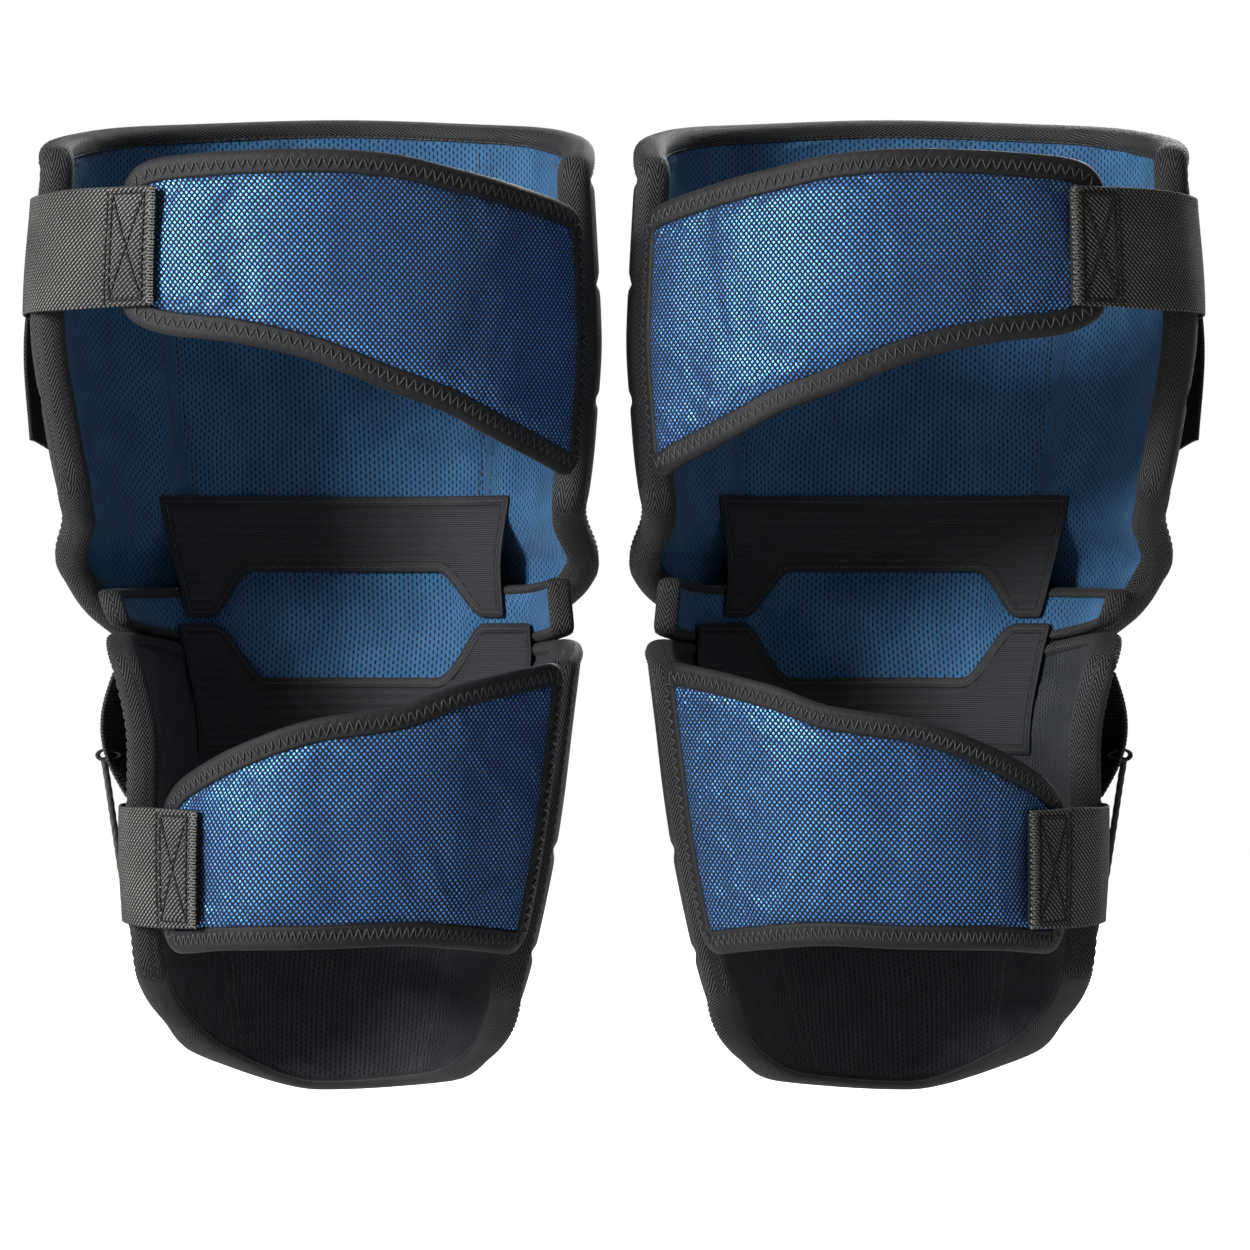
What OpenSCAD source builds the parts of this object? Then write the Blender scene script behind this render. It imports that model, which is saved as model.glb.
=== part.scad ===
// A pair of ice hockey goalkeeper's knee and thigh guards, worn side by side.
// Each guard is a thigh shield, a knee cup and a shin shield that bend with the leg. A padded
// mesh wrap and an elastic strap with a hook tab close it behind the thigh, and again behind the calf.
// +X is to the right, +Y is forward, +Z is up. The origin lies midway between the two knees.
// The left guard is drawn, and the right one is its mirror image. Angles run round the leg from its
// front (0) over the inner side (90) and the back (180) to the outer side (270, which is also -90).

/* [Leg space] */
// Distance from the middle of the pair to the middle of each knee
knee_x = 115.5; // [110:0.5:125]
// How much further out the thigh's middle lies than the knee's, at the top
thigh_spread = 6.5; // [0:0.5:12]
// How much further out the calf's middle lies than the knee's, at the ankle end
calf_spread = 15; // [5:0.5:20]

/* [Shields] */
// Top of the thigh shield at its front
thigh_top = 216; // [190:1:230]
// Lower end of the shin shield at its front
shin_end = -200; // [-215:1:-190]
// Pad thickness of the thigh shield at its front
thigh_pad = 27; // [22:1:30]
// Pad thickness of the shin shield at its front
shin_pad = 24; // [20:1:28]
// Pad thickness at the sides and at the lips under the knee cap
side_pad = 12; // [11:0.5:12]
// Width of the padded edge roll of the thigh shield
thigh_roll_w = 9; // [6:0.5:10]
// Width of the edge roll of the shin shield
shin_roll_w = 5; // [4:0.5:6]

/* [Knee cup] */
// Half the height of the knee cap
cap_half = 68; // [60:1:70]
// Crown of the knee cap at its middle
cap_crown = 14; // [8:1:18]

/* [Wraps and straps] */
// Width of the binding tape round each wrap
tape_w = 9.5; // [8:0.5:10]
// Thickness of a wrap
wrap_t = 6; // [4:0.5:6]
// Width of each elastic strap
strap_w = 50; // [40:1:50]
// Thickness of the elastic
strap_t = 1.6; // [1.2:0.1:1.8]
// Length of the hook patch under each strap's end
hook_l = 20; // [12:1:22]

/* [Cord] */
// Diameter of the elastic cord
cord_d = 3; // [2:0.5:3]

/* [Hidden] */
SIDES = ["left", "right"];
PIECES = [
    "thigh_liner", "thigh_foam", "thigh_plate", "thigh_cover", "thigh_roll", "thigh_bars", "thigh_wing",
    "thigh_elastic", "thigh_hooks", "thigh_wrap", "thigh_wrap_tape",
    "knee_liner", "knee_pad", "knee_tape", "knee_cap", "knee_gusset", "shin_gusset",
    "shin_liner", "shin_foam", "shin_plate", "shin_cover", "shin_roll", "shin_bars", "shin_wing",
    "cord_loop", "cord", "calf_elastic", "calf_hooks", "calf_wrap", "calf_wrap_tape",
];
NODES = [for (side = SIDES) for (piece = PIECES) str(side, "_", piece)];
node = "all";

// Half-widths and front depth of the space that the leg fills:
// height, outer half-width, inner half-width, front and back depth
leg_rows = [
    [-200, 52, 62, 68], [-160, 60, 78, 71], [-140, 66, 82, 73], [-90, 73, 88, 79], [-50, 76, 90, 83],
    [-15, 86, 91, 86], [0, 92, 89, 88], [23, 99, 88, 88], [60, 108, 95, 88], [83, 112, 98, 88],
    [126, 117, 102, 89], [190, 111, 101, 91], [230, 108, 99, 92],
];
leg_middle = [[-160, knee_x + calf_spread*0.9], [0, knee_x], [190, knee_x + thigh_spread]];

// Angles of the grid lines that the thigh and shin shields share
front_angles = [-38, -25, -12.5, 0, 12.5, 25, 38];
thigh_angles = concat([-102, -84, -66, -46, -42], front_angles, [42, 46, 64, 84, 100]);
shin_angles = concat([-100, -84, -66, -46], front_angles, [46, 64, 84, 103]);
knee_angles = [-84, -66, -50, -42, -35, -30, -20, -10, 0, 10, 20, 30, 35, 42, 50, 66, 84];

// Edge heights over the angle round the leg
thigh_lower = [[-102, 62], [-46, -4], [-38, 42], [38, 42], [46, 12], [100, 55]];
thigh_upper = [[-102, 194], [-84, 200], [-38, thigh_top - 4], [0, thigh_top], [38, thigh_top - 4],
    [84, 200], [100, 190]];
shin_upper = [[-100, -18], [-84, -8], [-46, -15], [-38, -42], [38, -42], [46, -15], [84, -11], [103, -20]];
shin_lower = [[-100, -146], [-84, -158], [-46, -184], [0, shin_end], [46, shin_end + 5],
    [84, -176], [103, -153]];
knee_upper = [[-84, 12], [-50, 13], [-35, 14], [-30, 28], [30, 28], [35, 14], [50, 14], [84, 17]];
knee_lower = [[-84, 3], [-50, -4], [-42, -5], [-35, -24], [-30, -30], [30, -30], [35, -24], [42, -5],
    [50, -5], [84, -1]];

// Outlines of the wraps with their tape: angle and height
thigh_wrap_top = [[108, 174], [126, 181], [150, 189], [165, 194], [180, 195.5], [212, 193.5], [223, 188]];
thigh_wrap_bottom = [[108, 59], [126, 70], [140, 79], [150, 87], [163, 95], [184, 110], [197, 116],
    [212, 120], [223, 130]];
calf_wrap_top = [[108, -14], [118, -16], [146, -24.5], [161, -33], [182, -38.5], [204, -49.5],
    [216, -57.5], [225, -64.5], [236, -84]];
calf_wrap_bottom = [[108, -141], [120, -138], [138, -135], [155, -133], [176, -134], [207, -135],
    [231, -137.5], [236, -132]];
thigh_wrap_angles = [112.6, 119, 126, 135, 144, 153, 163, 173, 184, 195, 206, 213, 218.6];
calf_wrap_angles = [115, 121, 129, 138, 147, 156, 166, 176, 187, 198, 209, 220, 229];

// Shares of the pad's thickness at which its layers meet: liner, foam, plate, cover
layers = [0, 0.12, 0.5, 0.6, 1];

// Clearances: between sewn pieces, from the leg to the thigh shield's side lobes, the extra at the outer
// lobe's tip, from the leg to the knee cap and from the leg to the wraps
seam_gap = 0.6;
lobe_lift = 13;
tip_lift = 3.5;
cap_gap = 15.5;
wrap_in = 3;

// Knee cup: pad thickness in front and on its wings, tape width, and the cap's half angle, rim and corners
knee_front_t = 14;
knee_wing_t = 9.5;
knee_tape_w = 3.5;
cap_angle = 32;
cap_rim = 4;
cap_corner = 14;

// Front bars: lower edges, height and thickness
thigh_bar_lows = [98, 134, 170];
thigh_bar_h = 32;
thigh_bar_t = 6;
shin_bar_lows = [-126, -160];
shin_bar_h = 30;
shin_bar_t = 5;
shin_bar_angles = [-25, -12.5, 0, 12.5, 25];

// Outer flap of the thigh: lower and upper edge, how far it stands off, thickness
thigh_flap = [70, 184];
thigh_flap_off = 16;
thigh_flap_t = 2.4;
// Outer flap of the shin
shin_flap = [-74, -20];
shin_flap_off = 11;
shin_flap_t = 2;

// Gussets: depth inside the leg space and thickness
gusset_in = 2;
gusset_t = 1.1;

// Straps: end and anchor angles and lower edge; hook patch thickness, and the gap under the elastic
thigh_strap = [212.5, 280, 131.5];
calf_strap = [215.5, 277, -126.5];
hook_t = 1.5;
strap_gap = 0.9;

// The cord's route down the outer side of the shin
cord_route = [
    [-220, 21, -57], [-218.5, 21, -66], [-217, 21, -76], [-215.5, 21, -86], [-214, 21, -96],
    [-212.5, 21, -106], [-210.5, 20.5, -116], [-208.5, 20, -126], [-206, 19, -136], [-203, 18, -145],
    [-200, 17, -153],
];

function smooth(t) = let (s = min(1, max(0, t))) s*s*(3 - 2*s);
function mix(a, b, t) = a + (b - a)*t;
function leg_size(z, column) = lookup(z, [for (row = leg_rows) [row[0], row[column]]]);

// A point at angle a and height z, d outside the leg space
function on_leg(a, z, d) =
    let (s = sin(a))
    [(leg_size(z, s < 0 ? 1 : 2) + d)*s - lookup(z, leg_middle), (leg_size(z, 3) + d)*cos(a), z];

// Pad thickness: full at the front, side_pad at the sides and at the lip next to the knee
function thigh_thick(a, z) = side_pad + (thigh_pad - side_pad)*smooth((72 - abs(a))/34)*smooth((z - 76)/16);
function shin_thick(a, z) = side_pad - 1
    + (shin_pad - side_pad + 1)*smooth((72 - abs(a))/34)*smooth((-76 - z)/16);
function knee_thick(a) = mix(knee_front_t, knee_wing_t, smooth((abs(a) - 30)/5));
// The thigh shield's side lobes pass outside the knee cup's wings, the outer one's tip a little further
function thigh_lift(a, z) = lobe_lift*smooth((abs(a) - 33)/4)*smooth((50 - z)/24)
    + tip_lift*smooth((-34 - a)/8)*smooth((26 - z)/18);

// Points of the three shields: angle, share v of the height, share f of the thickness
function on_thigh(a, v, f) =
    let (z = mix(lookup(a, thigh_lower), lookup(a, thigh_upper), v))
    on_leg(a, z, thigh_lift(a, z) + f*thigh_thick(a, z));
function on_shin(a, v, f) =
    let (z = mix(lookup(a, shin_lower), lookup(a, shin_upper), v))
    on_leg(a, z, f*shin_thick(a, z));
function on_knee(a, v, f) =
    let (z = mix(lookup(a, knee_lower), lookup(a, knee_upper), v))
    on_leg(a, z, f*knee_thick(a));

function split(quads) = [for (q = quads) each [[q[0], q[1], q[2]], [q[0], q[2], q[3]]]];

// A closed block over a grid of angles and heights; at(a, v, k) gives its inner (k = 0) and outer faces
module block(at, angles, heights) {
    n = len(angles);
    m = len(heights);
    function p(i, j, k) = i + n*j + n*m*k;
    points = [for (k = [0, 1]) for (v = heights) for (a = angles) at(a, v, k)];
    shells = [for (j = [0:m - 2]) for (i = [0:n - 2]) each [
        [p(i, j, 1), p(i + 1, j, 1), p(i + 1, j + 1, 1), p(i, j + 1, 1)],
        [p(i, j, 0), p(i, j + 1, 0), p(i + 1, j + 1, 0), p(i + 1, j, 0)]]];
    ends = [for (i = [0:n - 2]) each [
        [p(i + 1, 0, 1), p(i, 0, 1), p(i, 0, 0), p(i + 1, 0, 0)],
        [p(i, m - 1, 1), p(i + 1, m - 1, 1), p(i + 1, m - 1, 0), p(i, m - 1, 0)]]];
    sides = [for (j = [0:m - 2]) each [
        [p(0, j, 1), p(0, j + 1, 1), p(0, j + 1, 0), p(0, j, 0)],
        [p(n - 1, j + 1, 1), p(n - 1, j, 1), p(n - 1, j, 0), p(n - 1, j + 1, 0)]]];
    polyhedron(points = points, faces = split(concat(shells, ends, sides)));
}

// A solid through a list of rings of points, closed on itself or with flat ends
module skin(rings, closed) {
    n = len(rings);
    m = len(rings[0]);
    function p(k, i) = (k % n)*m + i % m;
    around = [for (k = [0:closed ? n - 1 : n - 2]) for (i = [0:m - 1])
        [p(k, i), p(k, i + 1), p(k + 1, i + 1), p(k + 1, i)]];
    caps = closed ? [] : concat(
        [for (i = [1:m - 2]) [p(0, 0), p(0, i + 1), p(0, i)]],
        [for (i = [1:m - 2]) [p(n - 1, 0), p(n - 1, i), p(n - 1, i + 1)]]);
    polyhedron(points = [for (ring = rings) each ring], faces = concat(split(around), caps));
}

// The rim of a field of angles and heights, counter-clockwise as seen from outside the leg
function rim(angles, low, high, heights) =
    let (first = angles[0], last = angles[len(angles) - 1], n = len(heights))
    concat(
        [for (a = angles) [a, lookup(a, low)]],
        [for (j = [1:n - 2]) [last, mix(lookup(last, low), lookup(last, high), heights[j])]],
        [for (i = [len(angles) - 1:-1:0]) [angles[i], lookup(angles[i], high)]],
        [for (j = [n - 2:-1:1]) [first, mix(lookup(first, low), lookup(first, high), heights[j])]]);

// Unit normal of the rim at point k, pointing out of the field; r is the millimetres in a degree
function rim_normal(path, k, r) =
    let (n = len(path), a = path[(k + n - 1) % n], b = path[k], c = path[(k + 1) % n],
        u = [(b[0] - a[0])*r, b[1] - a[1]], v = [(c[0] - b[0])*r, c[1] - b[1]],
        w = u/norm(u) + v/norm(v), t = w/norm(w), s = 1/max(0.55, t*v/norm(v)))
    [t[1]*s/r, -t[0]*s];

// An edge roll round a rim: w wide, from depth(a, z)[0] to depth(a, z)[1]
module roll(path, w, depth, r = 1.8) {
    rings = [for (k = [0:len(path) - 1])
        let (at = path[k], out = rim_normal(path, k, r), d = depth(at[0], at[1]), h = d[1] - d[0])
        [for (q = [[0, 0], [0.55, 0], [1, 0.28], [1, 0.72], [0.55, 1], [0, 1]])
            let (o = seam_gap + (w - seam_gap)*q[0])
            on_leg(at[0] + out[0]*o, at[1] + out[1]*o, d[0] + h*q[1])]];
    skin(rings, true);
}

shield_heights = [0, 0.07, 0.14, 0.25, 0.36, 0.68, 1];
function flipped(list) = [for (i = [len(list) - 1:-1:0]) 1 - list[i]];

module thigh_layer(n) {
    block(function(a, v, k) on_thigh(a, v, layers[n + k]), thigh_angles, shield_heights);
}
module shin_layer(n) {
    block(function(a, v, k) on_shin(a, v, layers[n + k]), shin_angles, flipped(shield_heights));
}

module thigh_liner() { color([0.12, 0.27, 0.45]) thigh_layer(0); }
module thigh_foam() { color("lightgray") thigh_layer(1); }
module thigh_plate() { color("white") thigh_layer(2); }
module thigh_cover() { color([0.08, 0.08, 0.09]) thigh_layer(3); }
module thigh_roll() {
    color([0.05, 0.05, 0.06])
        roll(rim(thigh_angles, thigh_lower, thigh_upper, shield_heights), thigh_roll_w,
            function(a, z) [thigh_lift(a, z) - 0.5, thigh_lift(a, z) + 1 + thigh_thick(a, z)]);
}
module thigh_bars() {
    color([0.1, 0.1, 0.12])
        for (low = thigh_bar_lows)
            block(function(a, v, k)
                    on_leg(a, low + thigh_bar_h*v, thigh_thick(a, 120) + seam_gap + thigh_bar_t*k),
                front_angles, [0, 1]);
}
// A thin flap that stands off the outer side of the thigh shield
module thigh_wing() {
    color([0.07, 0.07, 0.08])
        block(function(a, v, k)
                on_leg(a, mix(thigh_flap[0], thigh_flap[1], v)
                        + 10*(v < 0.5 ? 1 : -1)*smooth((-60 - a)/12)*abs(2*v - 1),
                    thigh_thick(a, 120) + 1 + thigh_flap_off*smooth((-54 - a)/18)*(1 - 0.6*v)
                        + thigh_flap_t*k),
            [-72, -67.5, -63, -58.5, -54], [0, 0.25, 0.5, 0.75, 1]);
}

// How far the elastic lies outside the leg space: over the wrap, then over the shield's roll
function strap_depth(a, end, anchor) =
    let (over = wrap_in + wrap_t + hook_t + strap_gap)
    lookup(a, [[end, over], [end + 14, over], [250, side_pad + 2.2], [anchor, side_pad + 1.4]]);
module elastic(strap) {
    color([0.12, 0.12, 0.14])
        block(function(a, v, k)
                on_leg(a, strap[2] + strap_w*v, strap_depth(a, strap[0], strap[1]) + strap_t*k),
            [for (i = [0:10]) mix(strap[0], strap[1], i/10)], [0, 0.5, 1]);
}
// The hook patch is 2 mm inside the strap's edges; r is the millimetres in a degree
module hooks(strap, r) {
    color([0.03, 0.03, 0.03])
        block(function(a, v, k)
                on_leg(a, strap[2] + 2 + (strap_w - 4)*v, wrap_in + wrap_t + 0.5 + (hook_t + 0.1)*k),
            [for (i = [0:3]) strap[0] + 0.6 + hook_l/r*i/3], [0, 0.5, 1]);
}
module thigh_elastic() { elastic(thigh_strap); }
module thigh_hooks() { hooks(thigh_strap, 2.1); }
module calf_elastic() { elastic(calf_strap); }
module calf_hooks() { hooks(calf_strap, 1.5); }

// A wrap lies close to the leg, and stands off it next to its seam on the inner side
function wrap_depth(a) = wrap_in + 4*smooth((132 - a)/20);
wrap_heights = [0, 0.33, 0.67, 1];
function inset(edge, by) = [for (p = edge) [p[0], p[1] + by]];
module wrap(angles, bottom, top) {
    low = inset(bottom, tape_w);
    high = inset(top, -tape_w);
    color([0.1, 0.32, 0.66])
        block(function(a, v, k) on_leg(a, mix(lookup(a, low), lookup(a, high), v), wrap_depth(a) + wrap_t*k),
            angles, wrap_heights);
}
module wrap_tape(angles, bottom, top, r) {
    color([0.06, 0.06, 0.07])
        roll(rim(angles, inset(bottom, tape_w), inset(top, -tape_w), wrap_heights), tape_w,
            function(a, z) [wrap_depth(a) + 0.6, wrap_depth(a) + wrap_t - 0.2], r);
}
module thigh_wrap() { wrap(thigh_wrap_angles, thigh_wrap_bottom, thigh_wrap_top); }
module thigh_wrap_tape() { wrap_tape(thigh_wrap_angles, thigh_wrap_bottom, thigh_wrap_top, 1.9); }
module calf_wrap() { wrap(calf_wrap_angles, calf_wrap_bottom, calf_wrap_top); }
module calf_wrap_tape() { wrap_tape(calf_wrap_angles, calf_wrap_bottom, calf_wrap_top, 1.5); }

knee_heights = [0, 0.5, 1];
module knee_liner() {
    color([0.12, 0.27, 0.45]) block(function(a, v, k) on_knee(a, v, 0.25*k), knee_angles, knee_heights);
}
module knee_pad() {
    color([0.08, 0.08, 0.09]) block(function(a, v, k) on_knee(a, v, 0.25 + 0.75*k), knee_angles, knee_heights);
}
module knee_tape() {
    color([0.05, 0.05, 0.06])
        roll(rim(knee_angles, knee_lower, knee_upper, knee_heights), knee_tape_w,
            function(a, z) [-0.3, 0.4 + knee_thick(a)]);
}
// The hard cap: a shallow dome over the lips of the thigh and shin shields
module knee_cap() {
    function crown(a, v) = cap_rim + (cap_crown - cap_rim)*(1 - pow(a/cap_angle, 2))*(1 - pow(2*v - 1, 2));
    function corner(a) = cap_corner*pow(abs(a)/cap_angle, 3);
    color([0.09, 0.09, 0.1])
        block(function(a, v, k) on_leg(a, (cap_half - corner(a))*(2*v - 1), cap_gap + crown(a, v)*k),
            [-cap_angle, -22, -11, 0, 11, 22, cap_angle], [0, 0.12, 0.3, 0.5, 0.7, 0.88, 1]);
}
// Pleated stretch cloth inside the gap between two shields
module gusset(low, high) {
    color([0.04, 0.04, 0.05])
        block(function(a, v, k) on_leg(a, mix(low, high, v), gusset_t*k - gusset_in),
            concat([-46], front_angles, [46]), [0, 0.5, 1]);
}
module knee_gusset() { gusset(8, 56); }
module shin_gusset() { gusset(-56, -12); }

module shin_liner() { color([0.14, 0.16, 0.2]) shin_layer(0); }
module shin_foam() { color("lightgray") shin_layer(1); }
module shin_plate() { color("white") shin_layer(2); }
module shin_cover() { color([0.08, 0.08, 0.09]) shin_layer(3); }
module shin_roll() {
    color([0.05, 0.05, 0.06])
        roll(rim(shin_angles, shin_lower, shin_upper, flipped(shield_heights)), shin_roll_w,
            function(a, z) [-0.4, 0.8 + shin_thick(a, z)], 1.6);
}
module shin_bars() {
    color([0.1, 0.1, 0.12])
        for (low = shin_bar_lows)
            block(function(a, v, k)
                    on_leg(a, low + shin_bar_h*v, shin_thick(a, -120) + seam_gap + shin_bar_t*k),
                shin_bar_angles, [0, 1]);
}
// A ribbed flap on the outer side of the shin that carries the cord's loop
module shin_wing() {
    color([0.1, 0.1, 0.11])
        block(function(a, v, k)
                on_leg(a, mix(shin_flap[0], shin_flap[1], v),
                    side_pad + 0.4 + shin_flap_off*smooth((-62 - a)/16)*sin(180*v) + shin_flap_t*k),
            [-84, -78, -72, -66, -60], [0, 0.2, 0.4, 0.6, 0.8, 1]);
}
// A stitched webbing loop that holds the cord's upper end
module cord_loop() {
    color([0.05, 0.05, 0.05])
        translate([cord_route[0][0], cord_route[0][1], cord_route[0][2] + 2])
            rotate([90, 0, 0])
                difference() {
                    translate([0, 0, -6]) cylinder(h = 12, r = 6.5, $fn = 32);
                    translate([0, 0, -7]) cylinder(h = 14, r = 3.5, $fn = 32);
                }
}
module cord() {
    n = len(cord_route);
    function along(k) = let (d = cord_route[min(k + 1, n - 1)] - cord_route[max(k - 1, 0)]) d/norm(d);
    color([0.03, 0.03, 0.03])
        skin([for (k = [0:n - 1])
                let (t = along(k), side = cross(t, [0, 1, 0]), x = side/norm(side), y = cross(t, x))
                [for (i = [0:7]) cord_route[k] + cord_d/2*(cos(45*i)*x + sin(45*i)*y)]],
            false);
}

module on_side(side) {
    if (side == "left") children();
    else mirror([1, 0, 0]) children();
}
function shown(side, piece) = node == "all" || node == str(side, "_", piece);

for (side = SIDES) on_side(side) {
    if (shown(side, "thigh_liner")) thigh_liner();
    if (shown(side, "thigh_foam")) thigh_foam();
    if (shown(side, "thigh_plate")) thigh_plate();
    if (shown(side, "thigh_cover")) thigh_cover();
    if (shown(side, "thigh_roll")) thigh_roll();
    if (shown(side, "thigh_bars")) thigh_bars();
    if (shown(side, "thigh_wing")) thigh_wing();
    if (shown(side, "thigh_elastic")) thigh_elastic();
    if (shown(side, "thigh_hooks")) thigh_hooks();
    if (shown(side, "thigh_wrap")) thigh_wrap();
    if (shown(side, "thigh_wrap_tape")) thigh_wrap_tape();
    if (shown(side, "knee_liner")) knee_liner();
    if (shown(side, "knee_pad")) knee_pad();
    if (shown(side, "knee_tape")) knee_tape();
    if (shown(side, "knee_cap")) knee_cap();
    if (shown(side, "knee_gusset")) knee_gusset();
    if (shown(side, "shin_gusset")) shin_gusset();
    if (shown(side, "shin_liner")) shin_liner();
    if (shown(side, "shin_foam")) shin_foam();
    if (shown(side, "shin_plate")) shin_plate();
    if (shown(side, "shin_cover")) shin_cover();
    if (shown(side, "shin_roll")) shin_roll();
    if (shown(side, "shin_bars")) shin_bars();
    if (shown(side, "shin_wing")) shin_wing();
    if (shown(side, "cord_loop")) cord_loop();
    if (shown(side, "cord")) cord();
    if (shown(side, "calf_elastic")) calf_elastic();
    if (shown(side, "calf_hooks")) calf_hooks();
    if (shown(side, "calf_wrap")) calf_wrap();
    if (shown(side, "calf_wrap_tape")) calf_wrap_tape();
}
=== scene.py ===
import math

import bpy
import numpy as np
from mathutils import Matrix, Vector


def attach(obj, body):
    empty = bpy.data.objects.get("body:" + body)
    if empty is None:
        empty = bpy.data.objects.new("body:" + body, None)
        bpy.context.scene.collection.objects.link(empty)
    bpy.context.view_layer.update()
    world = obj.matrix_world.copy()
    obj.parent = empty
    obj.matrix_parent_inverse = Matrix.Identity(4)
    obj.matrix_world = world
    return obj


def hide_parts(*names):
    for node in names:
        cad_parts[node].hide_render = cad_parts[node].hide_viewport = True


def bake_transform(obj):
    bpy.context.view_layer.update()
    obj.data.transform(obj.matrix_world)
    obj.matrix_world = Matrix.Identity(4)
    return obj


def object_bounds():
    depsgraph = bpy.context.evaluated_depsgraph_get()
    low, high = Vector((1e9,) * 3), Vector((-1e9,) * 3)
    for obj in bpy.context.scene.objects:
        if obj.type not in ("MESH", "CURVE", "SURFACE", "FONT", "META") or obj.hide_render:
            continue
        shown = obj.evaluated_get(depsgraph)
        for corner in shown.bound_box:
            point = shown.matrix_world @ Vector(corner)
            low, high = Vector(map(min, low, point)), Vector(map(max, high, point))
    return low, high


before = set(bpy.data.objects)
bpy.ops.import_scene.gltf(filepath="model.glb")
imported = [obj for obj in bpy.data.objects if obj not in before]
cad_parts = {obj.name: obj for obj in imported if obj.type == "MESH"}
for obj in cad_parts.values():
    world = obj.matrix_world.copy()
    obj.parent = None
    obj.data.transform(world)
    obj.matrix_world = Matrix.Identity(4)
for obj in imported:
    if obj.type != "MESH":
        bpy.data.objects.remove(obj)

cadBox = [list(corner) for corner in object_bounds()]
mm = 0.001
mmPerDegree = 1.85       # arc of one degree round the leg, on average

# camera
camera = {"distance": 2.4, "side": 0.0047, "height": 0.0, "viewAngle": 12.7}
cameraData = bpy.data.cameras.new("camera")
cameraData.sensor_width = 36
cameraData.lens = 18 / math.tan(math.radians(camera["viewAngle"] / 2))
cameraObject = bpy.data.objects.new("camera", cameraData)
bpy.context.collection.objects.link(cameraObject)
cameraObject.location = (camera["side"], -camera["distance"], camera["height"])
cameraObject.rotation_euler = (math.pi / 2, 0, 0)
bpy.context.scene.camera = cameraObject

# the leg's surface
# height, outer half-width, inner half-width, front and back depth, in mm
legRows = np.array([
    [-200, 52, 62, 68], [-160, 60, 78, 71], [-140, 66, 82, 73], [-90, 73, 88, 79], [-50, 76, 90, 83],
    [-15, 86, 91, 86], [0, 92, 89, 88], [23, 99, 88, 88], [60, 108, 95, 88], [83, 112, 98, 88],
    [126, 117, 102, 89], [190, 111, 101, 91], [230, 108, 99, 92]], float)
legMiddle = np.array([[-160, 129], [0, 115.5], [190, 122]], float)


def curve(x, knots):
    # Monotone cubic through the knots: Hermite pieces with harmonic-mean slopes, level past the ends.
    knots = np.asarray(knots, float)
    at, value = knots[:, 0], knots[:, 1]
    step, rise = np.diff(at), np.diff(value) / np.diff(at)
    slope = np.zeros(len(at))
    same = rise[:-1] * rise[1:] > 0
    mean = 2 * rise[:-1] * rise[1:] / np.where(same, rise[:-1] + rise[1:], 1)
    slope[1:-1] = np.where(same, mean, 0)
    slope[0], slope[-1] = rise[0], rise[-1]
    x = np.clip(np.asarray(x, float), at[0], at[-1])
    i = np.clip(np.searchsorted(at, x) - 1, 0, len(step) - 1)
    t = (x - at[i]) / step[i]
    return ((1 + 2 * t) * (1 - t) ** 2 * value[i] + t * (1 - t) ** 2 * step[i] * slope[i]
            + t * t * (3 - 2 * t) * value[i + 1] - t * t * (1 - t) * step[i] * slope[i + 1])


def smooth(t):
    # 3t^2 - 2t^3 between 0 and 1.
    t = np.clip(t, 0, 1)
    return t * t * (3 - 2 * t)


def legPoint(a, z, d):
    # x = (half-width + d) sin a - middle, y = (depth + d) cos a, in metres, for the left guard.
    a, z, d = np.broadcast_arrays(*(np.asarray(v, float) for v in (a, z, d)))
    angle = np.radians(a)
    side = np.where(np.sin(angle) < 0, curve(z, legRows[:, [0, 1]]), curve(z, legRows[:, [0, 2]]))
    x = (side + d) * np.sin(angle) - np.interp(z, legMiddle[:, 0], legMiddle[:, 1])
    y = (curve(z, legRows[:, [0, 3]]) + d) * np.cos(angle)
    return np.stack([x, y, z], axis=-1) * mm


# meshes from grids
def newObject(name, verts, faces, cornerUv, body, slot, replaces=()):
    # A mesh object riding on its body. Its faces are turned outward by the sign of its volume, which
    # is the sum of a . (b x c) + a . (c x d) over its faces.
    a, b, c, d = (verts[faces[:, k]] for k in range(4))
    volume = (a * np.cross(b, c)).sum() + (a * np.cross(c, d)).sum()
    if volume < 0:
        faces, cornerUv = faces[:, ::-1], cornerUv[:, ::-1]
    mesh = bpy.data.meshes.new(name)
    mesh.from_pydata(verts, [], faces)
    layer = mesh.uv_layers.new(name="cloth")
    layer.data.foreach_set("uv", np.ascontiguousarray(cornerUv, np.float32).ravel())
    mesh.shade_smooth()
    piece = bpy.data.objects.new(name, mesh)
    bpy.context.collection.objects.link(piece)
    if body:
        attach(piece, body)
    if replaces:
        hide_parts(*replaces)
    return piece


def quads(index):
    # Four neighbouring entries of a grid for each of its cells.
    return np.stack([index[:-1, :-1], index[1:, :-1], index[1:, 1:], index[:-1, 1:]], -1).reshape(-1, 4)


def quadUv(uv):
    # The same for a grid of UV pairs.
    return np.stack([uv[:-1, :-1], uv[1:, :-1], uv[1:, 1:], uv[:-1, 1:]], 2).reshape(-1, 4, 2)


def lengths(points, axis):
    # Distance along the grid from its first row or column, as a running sum of the steps.
    step = np.linalg.norm(np.diff(points, axis=axis), axis=-1)
    zero = np.zeros_like(np.take(step, [0], axis=axis))
    return np.concatenate([zero, np.cumsum(step, axis=axis)], axis=axis)


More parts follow.
